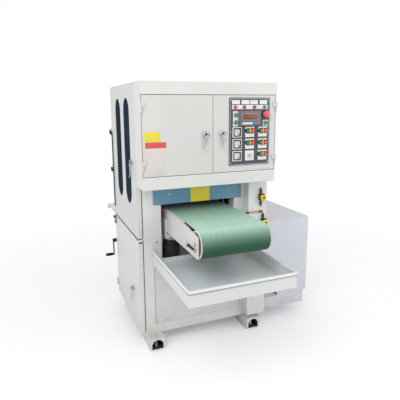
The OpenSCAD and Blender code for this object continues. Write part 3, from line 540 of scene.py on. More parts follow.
@once
def rubber(name, colour):
    """Matt rubber with a leathery grain and a bloom of dust."""
    material, tree, colour = new_material(name, colour)
    film = use(tree, paint_film, Patches=9.0, Peel=700.0)
    edges = use(tree, edge_wear, Radius=0.0015, Breakup=120.0)
    dirt = use(tree, workshop_dust, Speckle=160.0)
    base = mottle(tree, film["Tone"], colour, 0.82, 1.15)
    base = layer(tree, base, edges["Mask"], 0.35, np.minimum(colour * 1.8 + 0.03, 0.95))
    base = layer(tree, base, dirt["Dust"], 0.35, DUST_ON_RUBBER)
    finish(tree, base, spread(tree, film["Tone"], 0.54, 0.74), film["Height"], edges["Normal"], 0.00015)
    return material


def belt_weave(name, colour, centre, half, shade_span):
    """Feed belt: a fine waffle on green rubber, with a painted sheen that makes it paler as it turns up and
    painted shade that makes it darker near the head, long rub marks in the feed direction, and bare fabric in
    the last millimetre of its half width."""
    material, tree, colour = new_material(name, colour, Specular_IOR_Level=0.25)
    film = use(tree, paint_film, Patches=5.0, Peel=900.0)
    dirt = use(tree, workshop_dust, Speckle=60.0)
    rubs = use(tree, brush_lines, Stretch=(70.0, 2.2, 6.0))
    place = object_place(tree)
    offsets = (maths(tree, "SUBTRACT", share_along(tree, place, axis), centre[axis]) for axis in (0, 1))
    across, along = (maths(tree, "ABSOLUTE", offset) for offset in offsets)
    bare = ramp(tree, across, half - 0.0012, half - 0.0004)
    facing = ramp(tree, share_along(tree, own_normal(tree), 2), -0.45, 1.0)
    # Painted sheen on faces that turn up, held to 0.4 of itself near the head's middle as painted shade under
    # the head
    painted_sheen = times(tree, maths(tree, "POWER", facing, 2.5), ramp(tree, along, *shade_span, 0.4, 1.0))
    base = mottle(tree, film["Tone"], colour, 0.88, 1.1)
    base = tint(tree, painted_sheen, base, BELT_SHEEN)
    base = layer(tree, base, rubs["Tone"], 0.1, colour * 0.8)
    base = layer(tree, base, dirt["Dust"], 0.12, DUST_ON_BELT)
    base = tint(tree, bare, base, BELT_FABRIC)
    waves = {"Vector": place, "Scale": 55.0, "Distortion": 1.2}
    waffle = put(tree, "TexWave", waves, "Fac", bands_direction="Y")
    height = maths(tree, "ADD", waffle, film["Height"])
    finish(tree, base, spread(tree, rubs["Tone"], 0.42, 0.62), height, own_normal(tree), 0.00018)
    return material


def tinted_screen(name, colour):
    """Dark tinted sheet with a dull face and faint streaks."""
    material, tree, colour = new_material(name, colour, Specular_IOR_Level=0.0)
    film = use(tree, paint_film, Patches=6.0, Peel=900.0)
    streaks = use(tree, brush_lines, Stretch=(60.0, 60.0, 3.0))
    base = mottle(tree, film["Tone"], colour, 0.8, 1.15)
    base = layer(tree, base, streaks["Tone"], 0.1, colour * 1.8)
    finish(tree, base, spread(tree, streaks["Tone"], 0.45, 0.6), film["Height"], own_normal(tree), 0.00002)
    return material


def abrasive_cloth(name, colour):
    """Coated abrasive: a coarse grit height and dust-loaded patches."""
    material, tree, colour = new_material(name, colour)
    grit = noise(tree, 2600.0, 2.0, 0.7)
    load = ramp(tree, noise(tree, 26.0, 6.0, 0.7), 0.46, 0.72, 0.0, 0.6)
    base = tint(tree, load, mottle(tree, grit, colour, 0.6, 1.35), DUST_IN_GRIT)
    finish(tree, base, ramp(tree, grit, 0.2, 0.8, 0.7, 0.95), grit, own_normal(tree), 0.0004)
    return material


@once
def glossy_lens(name, colour):
    """Coloured lens: a clear coat over a mottled body."""
    material, tree, colour = new_material(name, colour, Coat_Weight=0.35, Coat_Roughness=0.06,
                                          Specular_IOR_Level=0.3)
    film = use(tree, paint_film, Patches=120.0, Peel=600.0)
    edges = use(tree, edge_wear, Radius=0.0008, Breakup=300.0)
    base = tint(tree, film["Tone"], colour * 0.85, np.minimum(colour * 1.12 + 0.01, 0.95))
    finish(tree, base, spread(tree, film["Tone"], 0.16, 0.3), film["Height"], edges["Normal"], 0.00003)
    return material


class SanderFinish(bpy.types.PropertyGroup):
    """Colours of the machine's finishes"""

    def shade(name, description, *display):
        return FloatVectorProperty(name=name, description=description, subtype="COLOR", size=3,
                                   min=0.0, max=1.0, default=linear(*display))

    cabinet: shade("Cabinet", "Paint of the cabinet, base and lower side door", 226, 226, 223)
    door: shade("Doors", "Paint of the upper doors and the lower panel", 217, 217, 214)
    housing: shade("Housing", "Paint of the side drive housing", 214, 216, 224)
    tray: shade("Tray", "Paint of the dust tray", 227, 228, 227)
    guard: shade("Guard", "Paint of the guard bar over the feed opening", 104, 151, 180)
    panel: shade("Panel", "Face of the control panel", 72, 70, 82)
    belt: shade("Feed belt", "Rubber of the feed belt", 48, 94, 72)
    plate: shade("Plates", "Plain face plates and labels", 236, 236, 234)
    yellow: shade("Yellow", "Valve knobs and the stop button's collar", 240, 208, 44)
    red: shade("Red", "Stop buttons", 236, 84, 84)
    green: shade("Green", "Start and jog buttons", 10, 146, 92)
    amber: shade("Amber", "Lenses between the twin buttons", 240, 158, 58)
    motor: shade("Motor", "Paint of the motors", 86, 92, 100)
    abrasive: shade("Abrasive", "Grit of the sanding belts", 128, 78, 48)
    del shade


class SanderTrim(bpy.types.PropertyGroup):
    """Sizes of the trim"""

    screw: FloatProperty(name="Screw head", description="Radius of a cover screw's head",
                         default=0.006, min=0.002, max=0.012, unit="LENGTH")
    plate: FloatProperty(name="Plate", description="Thickness of a plain plate",
                         default=0.0012, min=0.0004, max=0.004, unit="LENGTH")
    lever: FloatProperty(name="Lever", description="Length of a door lever below its pivot",
                         default=0.098, min=0.06, max=0.12, unit="LENGTH")
    lean: FloatProperty(name="Lever lean", description="How far the right-hand door lever leans",
                        default=math.radians(8), min=0.0, max=0.5, unit="ROTATION")
    pleats: IntProperty(name="Pleats", description="Pleats on each half of a jack's dust cover",
                        default=6, min=2, max=12)
    needle: FloatProperty(name="Needle", description="Angle of the ammeter needles above level",
                          default=math.radians(128), min=1.6, max=3.1, unit="ROTATION")
    fins: IntProperty(name="Fins", description="Cooling fins on the feed motor", default=9, min=4, max=16)


class SanderStage(bpy.types.PropertyGroup):
    """Camera and light"""

    camera: FloatVectorProperty(name="Camera", description="Place of the camera", subtype="TRANSLATION",
                                unit="LENGTH", default=(-1.18837, -2.67420, 1.55377))
    yaw: FloatProperty(name="Yaw", description="Camera's turn to the right", default=0.38712, unit="ROTATION")
    pitch: FloatProperty(name="Pitch", description="Camera's tilt downwards", default=0.1856, unit="ROTATION")
    roll: FloatProperty(name="Roll", description="Camera's roll", default=-0.006685, unit="ROTATION")
    lens: FloatProperty(name="Lens", description="Focal length in millimetres on a 36 mm frame",
                        default=37.35)
    shift: FloatProperty(name="Shift", description="Vertical shift of the frame", default=-0.0375)
    key: FloatProperty(name="Key light", description="Power of the key light", default=36.0, unit="POWER")
    fill: FloatProperty(name="Fill light", description="Power of the fill light", default=44.0, unit="POWER")
    sky: FloatProperty(name="Sky", description="Strength of the even light from all sides", default=0.75)


def finishes():
    return bpy.context.scene.sander_finish


def trim():
    return bpy.context.scene.sander_trim


def cabinet_paint():
    return paint("cabinet white enamel", finishes().cabinet)


def motor_paint():
    return paint("motor grey enamel", finishes().motor, rough=0.45)


def black_plastic():
    return plastic("black moulding", linear(22, 22, 25), rough=0.42, shine=0.25)


def yellow_plastic():
    return plastic("signal yellow", finishes().yellow, rough=0.35)


def chrome():
    return metal("polished chrome", linear(184, 188, 198), rough=0.16, tarnish=0.3)


def steel():
    return metal("bright steel", linear(188, 188, 190), rough=0.28)


def dark_steel():
    return metal("blackened steel", linear(70, 70, 74), rough=0.38)


class SANDER_OT_stage(bpy.types.Operator):
    """Makes the pale floor, the soft studio light and the camera"""

    bl_idname = "sander.stage"
    bl_label = "Stage"

    aim = Vector((0, 0, 0.85))
    # Setting, size and place of each lamp
    lamps = [("key", 2.0, (-2.3, -2.1, 3.2)), ("fill", 2.4, (3.4, -3.8, 2.2))]

    def execute(self, context):
        scene = context.scene
        settings = scene.sander_stage
        scene.view_settings.view_transform = "Standard"
        self.world(scene, settings.sky)
        self.floor(scene)
        for name, size, place in self.lamps:
            self.lamp(scene, name + " light", getattr(settings, name), size, place)
        self.camera(scene, settings)
        return {"FINISHED"}

    def world(self, scene, strength):
        """White to the camera, mirrors and glass; a softer even light to everything else."""
        scene.world = bpy.data.worlds.new("studio")
        scene.world.use_nodes = True
        tree = scene.world.node_tree
        sky = tree.nodes["Background"].inputs
        fill(tree, sky["Color"], (1.0, 1.0, 1.0))
        fill(tree, sky["Strength"], spread(tree, seen_directly(tree), strength, 1.0))

    def floor(self, scene):
        """Round floor whose height is zero everywhere: rings of points on a polar grid. It throws back less
        light than the camera sees in it, and fades out into the white behind."""
        radii = np.linspace(0.4, 6.0, 15)[:, None]
        t = np.arange(64) * TURN / 64
        grid = np.stack([radii * np.cos(t), radii * np.sin(t), 0 * radii * t], 2)
        points, quads, triangles = stitch(grid, start=np.zeros(3))
        mesh = bpy.data.meshes.new("floor")
        mesh.from_pydata(points.tolist(), [], quads.tolist() + triangles.tolist())
        material, tree, bounce = new_material("pale floor", (0.8, 0.8, 0.8), Roughness=0.9)
        seen = seen_directly(tree)
        pale = tint(tree, noise(tree, 6.0, 4.0), (0.86, 0.86, 0.87), (0.90, 0.90, 0.91))
        shader = tree.nodes["Principled BSDF"]
        fill(tree, shader.inputs["Base Color"], tint(tree, seen, bounce, pale))
        fill(tree, shader.inputs["Emission Color"], (1.0, 1.0, 1.0))
        fill(tree, shader.inputs["Emission Strength"], times(tree, seen, 0.2))
        away = put(tree, "VectorMath", {0: object_place(tree)}, "Value", operation="LENGTH")
        clear = put(tree, "BsdfTransparent", {})
        faded = put(tree, "MixShader", {0: ramp(tree, away, 1.2, 3.2), 1: shader.outputs[0], 2: clear})
        fill(tree, tree.nodes["Material Output"].inputs[0], faded)
        mesh.materials.append(material)
        item = bpy.data.objects.new("floor", mesh)
        scene.collection.objects.link(item)

    def lamp(self, scene, name, power, size, place):
        """Square area light turned towards the machine's middle."""
        data = bpy.data.lights.new(name, "AREA")
        data.energy, data.size = power, size
        item = bpy.data.objects.new(name, data)
        item.location = place
        item.rotation_euler = (self.aim - item.location).to_track_quat("-Z", "Y").to_euler()
        scene.collection.objects.link(item)

    def camera(self, scene, settings):
        """Camera turned about the upright by its yaw, tilted from level by its pitch, then rolled."""
        data = bpy.data.cameras.new("camera")
        data.sensor_width, data.lens, data.shift_y = 36.0, settings.lens, settings.shift
        data.clip_end = 50.0
        matrix = Matrix.Translation(settings.camera)
        for angle, axis in ((-settings.yaw, "Z"), (TURN / 4 - settings.pitch, "X"), (settings.roll, "Z")):
            matrix @= Matrix.Rotation(angle, 4, axis)
        item = bpy.data.objects.new("camera", data)
        item.matrix_world = matrix
        scene.collection.objects.link(item)
        scene.camera = item


class SANDER_OT_cabinet(bpy.types.Operator):
    """Paints the welded base, head, columns and shelf, and adds their cover screws, dark seam strips that are
    partly seals and partly painted shade, and dark plates of painted shade inside the feet
    """

    bl_idname = "sander.cabinet"
    bl_label = "Cabinet"

    # Shares of the lower panel's width and height, and places of bolts on the left column
    screws = [(0.03, 0.835), (0.13, 0.05), (0.86, 0.05), (0.97, 0.835), (0.5, 0.95)]
    bolts = [(116, 552), (118, 706)]
    # Dark strips in the seams over, under and between the doors, and down the edge of the post, partly seals
    # and partly painted shade: spans of x, y and z
    seams = [((6, 882), (3, 20), (1624.6, 1626.8)), ((6, 882), (3, 20), (1151.2, 1153.4)),
             ((0.6, 28), (154, 884), (733.3, 738.7)), ((4, 28), (150.4, 152), (1080, 1690)),
             ((27.8, 31.8), (148.8, 150), (100, 730)), ((27.8, 31.8), (148.8, 150), (742, 1078))]

    def execute(self, context):
        dress(cabinet_paint(), "base_frame", "base_feet", "upper_cabinet", "deck_plate", "rear_shelf",
              "switch_column", "hinge_pins")
        dress(paint("lower panel enamel", finishes().door, grime=0.5), "lower_front_panel")
        low, high = box_of("lower_front_panel")
        size = high - low
        heads = [screw_head(low + size * (u, 0, v), -Y, trim().screw / MM) for u, v in self.screws]
        piece("lower_panel_screws", [(steel(), *heads)], "frame")
        heads = [hex_head((CORNER[0] + x, high[1], z), -Y, 7.5, 6) for x, z in self.bolts]
        piece("column_bolts", [(steel(), *heads)], "frame")
        # Dark rubber for the seals, and for painted shade in the seams, behind the lower panel and by the
        # left hinges
        seal = rubber("door seal black", linear(46, 48, 52))
        # Dark sheet behind the lower panel's edges: a painted shadow line round the panel
        margin = 1.8 * (X + Z)
        back = slab(low - margin + Y * (size[1] - 0.8), high + margin, 1, 2, 0.3)
        piece("lower_panel_seal", [(seal, back)], "frame")
        self.door_seals(seal)
        self.foot_liners()
        return {"FINISHED"}

    def door_seals(self, seal):
        """Thin dark strips in the seams, and between the front doors, partly seals and partly painted shade,
        with two dark strips of painted shadow by the left hinges.
        """
        strips = [block(*seam, 0.7, 0.3) for seam in self.seams]
        piece("door_seals", [(seal, *strips)], "frame")
        middle = block((445.6, 447.4), (3, 20), (1156, 1622), 0.7, 0.3)
        # Dark strips beside the left hinge barrels: painted shadow
        hinge_shadows = [block((9.5, 12.8), (-1.2, 0), (z, z + 56), 1, 0.4) for z in (1192, 1523)]
        piece("left_door_seal", [(seal, middle, *hinge_shadows)], "left_door")

    def foot_liners(self):
        """Dark plates of painted shade inside each hollow foot: thin plates below and on each inner wall but
        the arched one.
        """
        # Dark paint inside the feet: painted shade in the hollows
        painted_shade = paint("foot primer dark", linear(58, 58, 60), rough=0.6, dust=0.1, grime=0.1)
        top = box_of("levelling_bolts")[1][2] - 6.5
        half, reach, thin, offset = 44.8, 83.8, 0.8, 50
        plates = []
        for x, y, way in four_corners("levelling_bolts", PAD_RADIUS):
            middle = y + way * offset
            near, far, end = middle - reach, middle + reach, middle + way * reach
            for side in (-half, half):
                inner = x + side * (1 - thin / half)
                plates.append(slab((x + side, near, 1), (inner, far, top), 0, 1, 0.3))
            plates.append(slab((x - half, end, 1), (x + half, end - way * thin, top), 1, 1, 0.3))
            plates.append(slab((x - half, near, 0.4), (x + half, far, 0.4 + thin), 2, 1, 0.3))
        piece("foot_liners", [(painted_shade, *plates)], "frame")


class SANDER_OT_doors(bpy.types.Operator):
    """Paints the four doors, tints the side windows and adds their dark edge strips, a dark strip of painted
    shade along the lower side door's top, hinge caps and catch
    """

    bl_idname = "sander.doors"
    bl_label = "Doors"

    def execute(self, context):
        enamel = paint("front door enamel", finishes().door)
        dress(enamel, "front_left_door", "front_right_door", "upper_side_door")
        dress(cabinet_paint(), "lower_side_door")
        dress(tinted_screen("tinted screen", linear(44, 58, 72)), "window_screens")
        navy = plastic("edge strip navy", linear(40, 48, 72), rough=0.45, shine=0.3)
        face, rear = CORNER[0], box_of("upper_side_door")[1][1] - 11
        x, y, _ = joint_place("upper_door_hinge")

        def strip(low, high):
            return slab((face - 6, rear - 22, low), (face, rear, high), 0, 3, 1.2)

        caps = [soft_rod((x, y, z), Z, 13, 30, 3) for z in (1074, 1357)]
        piece("side_door_edge_strip", [(navy, strip(800, 1360)), (black_plastic(), *caps)], "upper_door")
        low, high = box_of("lower_side_door")
        front, top = low[1], high[2]
        catch = slab((face + 3, front - 1.6, top - 24), (face + 26, front, top - 16), 1, 2, 0.6)
        knob = soft_rod((x, y, top - 34), Z, 11, 18, 3)
        # Dark strip along the lower side door's top edge: painted shade that widens the seam's dark line
        edge = slab((face - 1, front + 1, top - 6), (face, rear, top), 0, 1, 0.4)
        piece("lower_door_catch", [(black_plastic(), catch, knob, edge), (navy, strip(top - 75, top - 20))],
              "lower_door")
        roof = block((0.5, 27.5), (153.5, 889), (1693.5, 1699.5), 1.5, 0.6, axis=0)
        piece("roof_edge_strip", [(cabinet_paint(), roof)], "frame")
        return {"FINISHED"}


class SANDER_OT_handles(bpy.types.Operator):
    """Makes the four lever locks: rosette, pivot, curved lever and key lock"""

    bl_idname = "sander.handles"
    bl_label = "Lever locks"

    def execute(self, context):
        leaning = math.sin(trim().lean) * X - math.cos(trim().lean) * Z
        locks = [("left", "front_left_handle", -Y, -Z), ("upper", "upper_side_handle", -X, -Z),
                 ("right", "front_right_handle", -Y, leaning), ("lower", "lower_side_handle", -X, -Z)]
        for name, node, out, down in locks:
            centre = joint_place(name + "_handle_turn")
            piece(name + "_lever", self.lever(centre, out, down), name + "_handle", (node,))
            beside = centre + np.cross(out, down) * 24 + down * 4
            piece(name + "_key_lock", self.key_lock(beside, out), name + "_door")
        return {"FINISHED"}

    def lever(self, centre, out, down):
        """Turned rosette and hub, and a flat bar along a curve that swings in and out again."""
        rosette = [(0, 0.2), (18, 0.2), (18, 1.8), (16.8, 4.2), (12.5, 5.2), (9.8, 8.5), (9.8, 10.5),
                   (12.2, 12), (12.5, 16), (10.5, 18.4), (0, 18.8)]
        reach = trim().lever / MM
        curve = bezier([centre + out * rise + down * share * reach
                        for rise, share in ((14.2, 0), (19.5, 0.3), (8.5, 0.65), (21, 1))])
        width = taper(curve, [0, 0.12, 0.8, 0.95, 1], [10.5, 8.2, 6.2, 5.6, 3])
        pivot = plastic("pivot cap navy", linear(30, 32, 44), rough=0.35, shine=0.3)
        return [(chrome(), lathe(rosette, centre, out, 36), tube(curve, width, out, 0.5)),
                (pivot, soft_rod(centre + out * 18.6, out, 7.4, 2.4))]

    def key_lock(self, centre, out):
        """Small turned lock with a dished face and a black bar of painted shade for its keyway."""
        profile = [(0, 0), (11.2, 0), (11.2, 2.2), (9.8, 4.2), (7.4, 4.4), (6.6, 3.6), (0, 3.4)]
        # Black bar across the lock's face: painted shade of the keyway
        half = np.where(out, 0.4, np.where(Z, 4.2, 0.9))
        middle = centre + out * 3.6
        slot = slab(middle - half, middle + half, int(np.argmin(out)), 0.6, 0.2)
        return [(chrome(), lathe(profile, centre, out, 28)), (black_plastic(), slot)]


class SANDER_OT_placards(bpy.types.Operator):
    """Makes the plain plates on the left-hand door and the guard bar, and the guard's screws"""

    bl_idname = "sander.placards"
    bl_label = "Plain plates and guard bar"

    # Name, colour, roughness, and spans of x and z on the door
    plates = [("yellow", (236, 218, 62), 0.4, (19, 112), (1357, 1414)),
              ("red", (224, 84, 78), 0.4, (23, 149), (1322, 1355)),
              ("cream", (222, 214, 210), 0.5, (22, 139), (1161, 1320))]

    def execute(self, context):
        thick = trim().plate / MM
        parts = []
        for name, colour, rough, xs, zs in self.plates:
            enamel = paint("plate " + name, linear(*colour), rough=rough, edge=0.0008, wear=0.2)
            parts.append((enamel, block(xs, (-thick, 0), zs, 3, 0.4)))
        piece("door_plates", parts, "left_door")
        dress(paint("guard blue", finishes().guard, rough=0.4), "guard_bar")
        low, _ = box_of("guard_bar")
        plate = slab(low + (248.5, -thick, 0), low + (381.5, 0, 97.5), 1, 3, 0.4)
        heads = [screw_head(low + (x, 0, 64), -Y, 8) for x in (103.5, 516.5)]
        piece("guard_bar_trim", [(parts[0][0], plate), (steel(), *heads)], "frame")
        return {"FINISHED"}


def panel_spot(across, up, out=0):
    """Point on the control panel's face at shares of its width and height."""
    low, high = box_of("control_panel")
    return np.array([low[0], low[1] - out, low[2]]) + (high - low) * (across, 0, up)


def over_panel(node, out=0):
    """Point in front of the panel's face, level with a control."""
    point = middle_of(node)
    point[1] = box_of("control_panel")[0][1] - out
    return point


class SANDER_OT_control_panel(bpy.types.Operator):
    """Makes the panel's face, border, a dark band of painted shade round its edge, screws, lamps and display
    """

    bl_idname = "sander.control_panel"
    bl_label = "Control panel"

    # Shares of the panel's width and height
    lamp_row = 0.865
    display_at = (0.488, 0.7)
    lamps_at = [(0.135, (226, 66, 50)), (0.355, (200, 30, 66)),
                (0.606, (190, 24, 84)), (0.862, (20, 148, 92))]
    # Sideways from the display's middle, width and colour
    keys = [(-21, 72, (232, 232, 234)), (31, 26, (74, 132, 202)), (54, 15, (222, 92, 112))]

    def execute(self, context):
        dress(paint("panel slate", finishes().panel, rough=0.45, edge=0.0015, dust=0.1), "control_panel")
        dress(plastic("plain plate white", finishes().plate, rough=0.45), "label_plates")
        low, high = box_of("control_panel")
        edge = 4 * (X + Z)
        border = edging(low + edge, high - edge, 1, low[1], 4, oblong(2.6, 1.6, 0.6, -0.2))
        # Dark band round the panel's edge: painted shade on its side
        rim = edging(low, high, 1, low[1] + 2, 3, oblong(2.4, 4.4, 0.8))
        heads = [screw_head(panel_spot(across, up), -Y, 4.2)
                 for across in (0.035, 0.965) for up in (0.04, 0.5, 0.96)]
        parts = [(plastic("panel border pale", linear(206, 206, 212)), border),
                 (plastic("panel rim dark", linear(54, 54, 62), rough=0.45), rim), (steel(), *heads)]
        piece("panel_border", parts, "right_door")
        self.display()
        self.lamps()
        return {"FINISHED"}

    def display(self):
        """Grey case with a rounded rim, a pale frame, a brown screen and a strip of three keys."""
        case = plastic("display case grey", linear(108, 108, 118), rough=0.42)
        pale = plastic("display frame pale", linear(164, 160, 160))
        glass = plastic("screen brown", linear(122, 78, 46), rough=0.3, depth=0.00001)
        # Finish, sideways and up from the middle, width, height, back, front, corner and softness
        rows = [(case, 0, 0, 155, 95, 0, 14, 7, 4), (pale, 0, 9, 116, 44, 13, 15.2, 3, 1),
                (glass, 0, 9, 108, 36, 14.8, 15.8, 2, 0.4)]
        for dx, width, colour in self.keys:
            key = plastic("display key %d %d %d" % colour, linear(*colour))
            rows.append((key, dx, -31, width, 13, 13, 16.2, 2, 1))
        parts = []
        for material, dx, dz, width, height, back, front, corner, soft in rows:
            middle = panel_spot(*self.display_at) + (dx, 0, dz)
            half = np.array([width / 2, 0, height / 2])
            low, high = middle - half - Y * front, middle + half - Y * back
            parts.append((material, slab(low, high, 1, corner, soft)))
        piece("display_unit", parts, "right_door", ("panel_devices",))

    def lamps(self):
        """Four domed lenses in bright rings: a quarter ellipse turned about each lamp's axis."""
        bend = np.linspace(0, TURN / 4, 7)[:-1]
        lens = np.vstack([[0, 0], columns(10.4 * np.cos(bend), 4 + 8.5 * np.sin(bend)), [0, 12.5]])
        ring = [(10.4, 0), (12.2, 0), (12.2, 3), (11.5, 4), (10.4, 4)]
        parts = []
        for across, colour in self.lamps_at:
            base = panel_spot(across, self.lamp_row, LABEL_THICK)
            glass = glossy_lens("lamp lens %d %d %d" % colour, linear(*colour))
            parts += [(glass, lathe(lens, base, -Y, 28)), (chrome(), lathe(ring, base, -Y, 28, ring=True))]
        piece("indicator_lamps", parts, "right_door")


class SANDER_OT_meters(bpy.types.Operator):
    """Makes the dials, inner frames, scales and needles of the three ammeters"""

    bl_idname = "sander.meters"
    bl_label = "Ammeters"

    # Shares of the panel's width and height, and where the scale starts and ends
    column, rows = 0.181, (0.496, 0.318, 0.14)
    scale = (TURN * 0.27, TURN * 0.48)

    def execute(self, context):
        face = box_of("label_plates")[0][1]
        dial = plastic("dial white", linear(240, 240, 238), rough=0.5)
        parts = []
        for up in self.rows:
            centre = panel_spot(self.column, up)
            centre[1] = face + 4
            half, inner = 24.5 * (X + Z), 23.2 * (X + Z)
            bezel = edging(centre - inner, centre + inner, 1, face - 0.6, 0.8, oblong(6.4, 1.8, 0.4))
            parts += [(dial, slab(centre - half - Y * 0.6, centre + half, 1, 1, 0.3)),
                      (black_plastic(), bezel, *self.marks(centre + (11.5, -0.6, -11.5)))]
        piece("ammeter_dials", parts, "right_door")
        return {"FINISHED"}

    def marks(self, hub):
        """Scale along an arc about the hub with six strokes across it, a tapering needle and a round cap."""
        def rays(angles):
            return columns(np.cos(angles), 0, np.sin(angles))

        strokes = [tube(hub + ray * [[22.2], [23.5], [24.8]] - Y * 0.3, 0.45, Y, 1.0, 6)
                   for ray in rays(np.linspace(*self.scale, 6))]
        needle = hub + rays([trim().needle]) * np.linspace(0, 22, 5)[:, None] - Y * 1.4
        return [tube(hub + 23 * rays(np.linspace(*self.scale, 20)) - Y * 0.3, 0.5, Y, 1.0, 6), *strokes,
                tube(needle, np.linspace(0.9, 0.3, 5), Y, 0.6, 8), soft_rod(hub, -Y, 4.2, 2.4)]


class SANDER_OT_buttons(bpy.types.Operator):
    """Makes the twin switches, jog buttons, emergency stop and speed knob"""

    bl_idname = "sander.buttons"
    bl_label = "Buttons and knob"

    def execute(self, context):
        green = glossy_lens("button green", finishes().green)
        red = glossy_lens("button red", finishes().red)
        bezels = []
        for k in range(1, 6):
            self.cap("start_button_%d" % k, 10.9, green, "green_plastic")
            self.cap("stop_button_%d" % k, 10.9, red, "red_plastic")
            bezels += self.twin_bezel(k)
        piece("twin_bezels", bezels, "right_door")
        jogs = ["jog_button_%d" % k for k in range(1, 4)]
        for name in jogs:
            self.cap(name, 12.4, green, "green_plastic")
        collars = [(chrome(), *(self.collar(name, 13, 15.2, 6.5) for name in jogs)),
                   (yellow_plastic(), self.collar("emergency_stop", 9.4, 16.5, 8))]
        piece("button_collars", collars, "right_door")
        self.stop()
        self.speed_knob()
        return {"FINISHED"}

    def back_of(self, node):
        """Middle of a control's back face."""
        x, _, z = middle_of(node)
        return np.array([x, box_of(node)[1][1], z])

    def cap(self, node, radius, material, slot):
        """Button cap: a rod that widens into a head with a soft rim and a shallow dish in its face."""
        low, high = box_of(node)
        stem, length, _ = (high - low) / (2, 1, 1)
        profile = [(0, 0), (stem, 0), (stem, length - 4.5), (radius, length - 4.3), (radius, length - 1.6),
                   (radius - 0.4, length - 0.6), (radius - 1.4, length), (radius * 0.7, length - 0.1),
                   (radius * 0.35, length - 0.7), (0, length - 0.9)]
        piece(node + "_cap", [(material, lathe(profile, self.back_of(node), -Y, 28))], node, (node,))

    def collar(self, node, inner, outer, height):
        """Ring round a button on the panel's plates, with a rolled rim."""
        profile = [(inner, 0), (outer, 0), (outer, height * 0.6), (outer - 1, height * 0.9),
                   (outer - 2.2, height), (inner, height)]
        return lathe(profile, over_panel(node), -Y, 32, ring=True)

    def twin_bezel(self, k):
        """Long round tray about both buttons, with a wall, a ring about each button and a lens between."""
        start, stop = (over_panel("%s_button_%d" % (kind, k), LABEL_THICK) for kind in ("start", "stop"))
        low, high = start - 14.6 * (X + Z), stop + 14.6 * (X + Z)
        wall = edging(low, high, 1, start[1], 14.4, oblong(1.6, 6, 0.4, -3))
        floor = slab(low - Y * 0.3, high, 1, 14.4, 0.2)
        ring = [(11.2, 0), (12.8, 0), (12.8, 6), (12.3, 6.8), (11.2, 6.8)]
        rings = [lathe(ring, centre, -Y, 28, ring=True) for centre in (start, stop)]
        lens = slab(start + (11.2, -11.8, -12.6), stop + (-11.2, 0, 12.6), 1, 2, 1.2)
        return [(black_plastic(), wall, floor, *rings), (glossy_lens("lens amber", finishes().amber), lens)]

    def stop(self):
        """Mushroom head: a lathe with a narrow stem and a domed cap."""
        red = glossy_lens("stop head red", linear(236, 92, 106))
        profile = [(0, 0), (9, 0), (9, 8.2), (17.8, 8.4), (21.2, 10), (22.6, 14), (21.8, 18.2), (18.2, 21.8),
                   (11, 23.6), (0, 24)]
        head = lathe(profile, self.back_of("emergency_stop"), -Y, 40)
        piece("stop_mushroom", [(red, head)], "stop_head", ("emergency_stop",))

    def speed_knob(self):
        """Fluted knob: a lathe whose radius swings with the angle, and a raised pointer."""
        grey = plastic("knob grey", linear(206, 206, 210), rough=0.38)
        centre = over_panel("speed_knob", LABEL_THICK)
        body = lathe([(0, 0.6), (10.8, 0.6), (10.8, 12), (9.6, 14.8), (0, 15)], centre, -Y, 72, 18, 0.035)
        skirt = soft_rod(centre - Y * 0.5, -Y, 12.8, 2.8)
        pointer = slab(centre + (-0.9, -15.8, 1), centre + (0.9, -14.5, 9.5), 1, 0.6, 0.3)
        parts = [(grey, body, skirt), (black_plastic(), pointer)]
        piece("speed_knob_cap", parts, "speed_dial", ("speed_knob",))


class SANDER_OT_valve_column(bpy.types.Operator):
    """Makes the two valves with yellow knobs and the brass pointer rod on the switch column"""

    bl_idname = "sander.valve_column"
    bl_label = "Valve column"

    def execute(self, context):
        face = box_of("switch_column")[0][1]
        lower = [(0, -62), (5.5, -62), (5.5, -50), (8.5, -49), (8.5, -36), (6, -34)]
        profile = lower + [(radius, -along) for radius, along in lower[::-1]]
        fittings = []
        for k in (1, 2):
            x, _, z = middle_of("valve_knob_%d" % k)
            case = slab((x - 19, face - 21.8, z - 22), (x + 19, face, z + 22), 1, 5, 2)
            stem = lathe(profile, (x - 6, face - 11, z), Z, 20)
            fittings += [(black_plastic(), case), (dark_steel(), stem)]
            self.knob("valve_knob_%d" % k, "valve_grip_%d" % k, x, z, face - 22.5)
        bar = np.array([box_of("column_fittings")[0][0], face - 7, 851.4])
        length, end = 128, 24
        brass = metal("aged brass", linear(190, 132, 84), stretch=(900.0, 900.0, 12.0))
        fittings.append((brass, soft_rod(bar, X, 3.8, length)))
        ends = [soft_rod(bar + X * start, X, 7, end, 2) for start in (0, length - end)]
        fittings.append((dark_steel(), *ends))
        piece("column_valves", fittings, "frame", ("column_fittings",))
        return {"FINISHED"}

    def knob(self, node, name, x, z, back):
        """Rounded square grip with a domed cap, a turned lower lip and a spindle into the valve."""
        front = box_of(node)[0][1]
        grip = slab((x - 18.5, front, z - 17.5), (x + 18.5, back, z + 17.5), 1, 9, 5)
        lip = lathe([(0, 3), (8.5, 3), (8.5, 12), (6, 15), (0, 15.5)], (x, back, z - 17.5), -Y, 20)
        cap = screw_head((x, front, z), -Y, 7)
        spindle = soft_rod((x, back - 1, z), Y, 6, 20)
        piece(name, [(yellow_plastic(), grip, lip), (black_plastic(), cap), (steel(), spindle)], node,
              (node,))


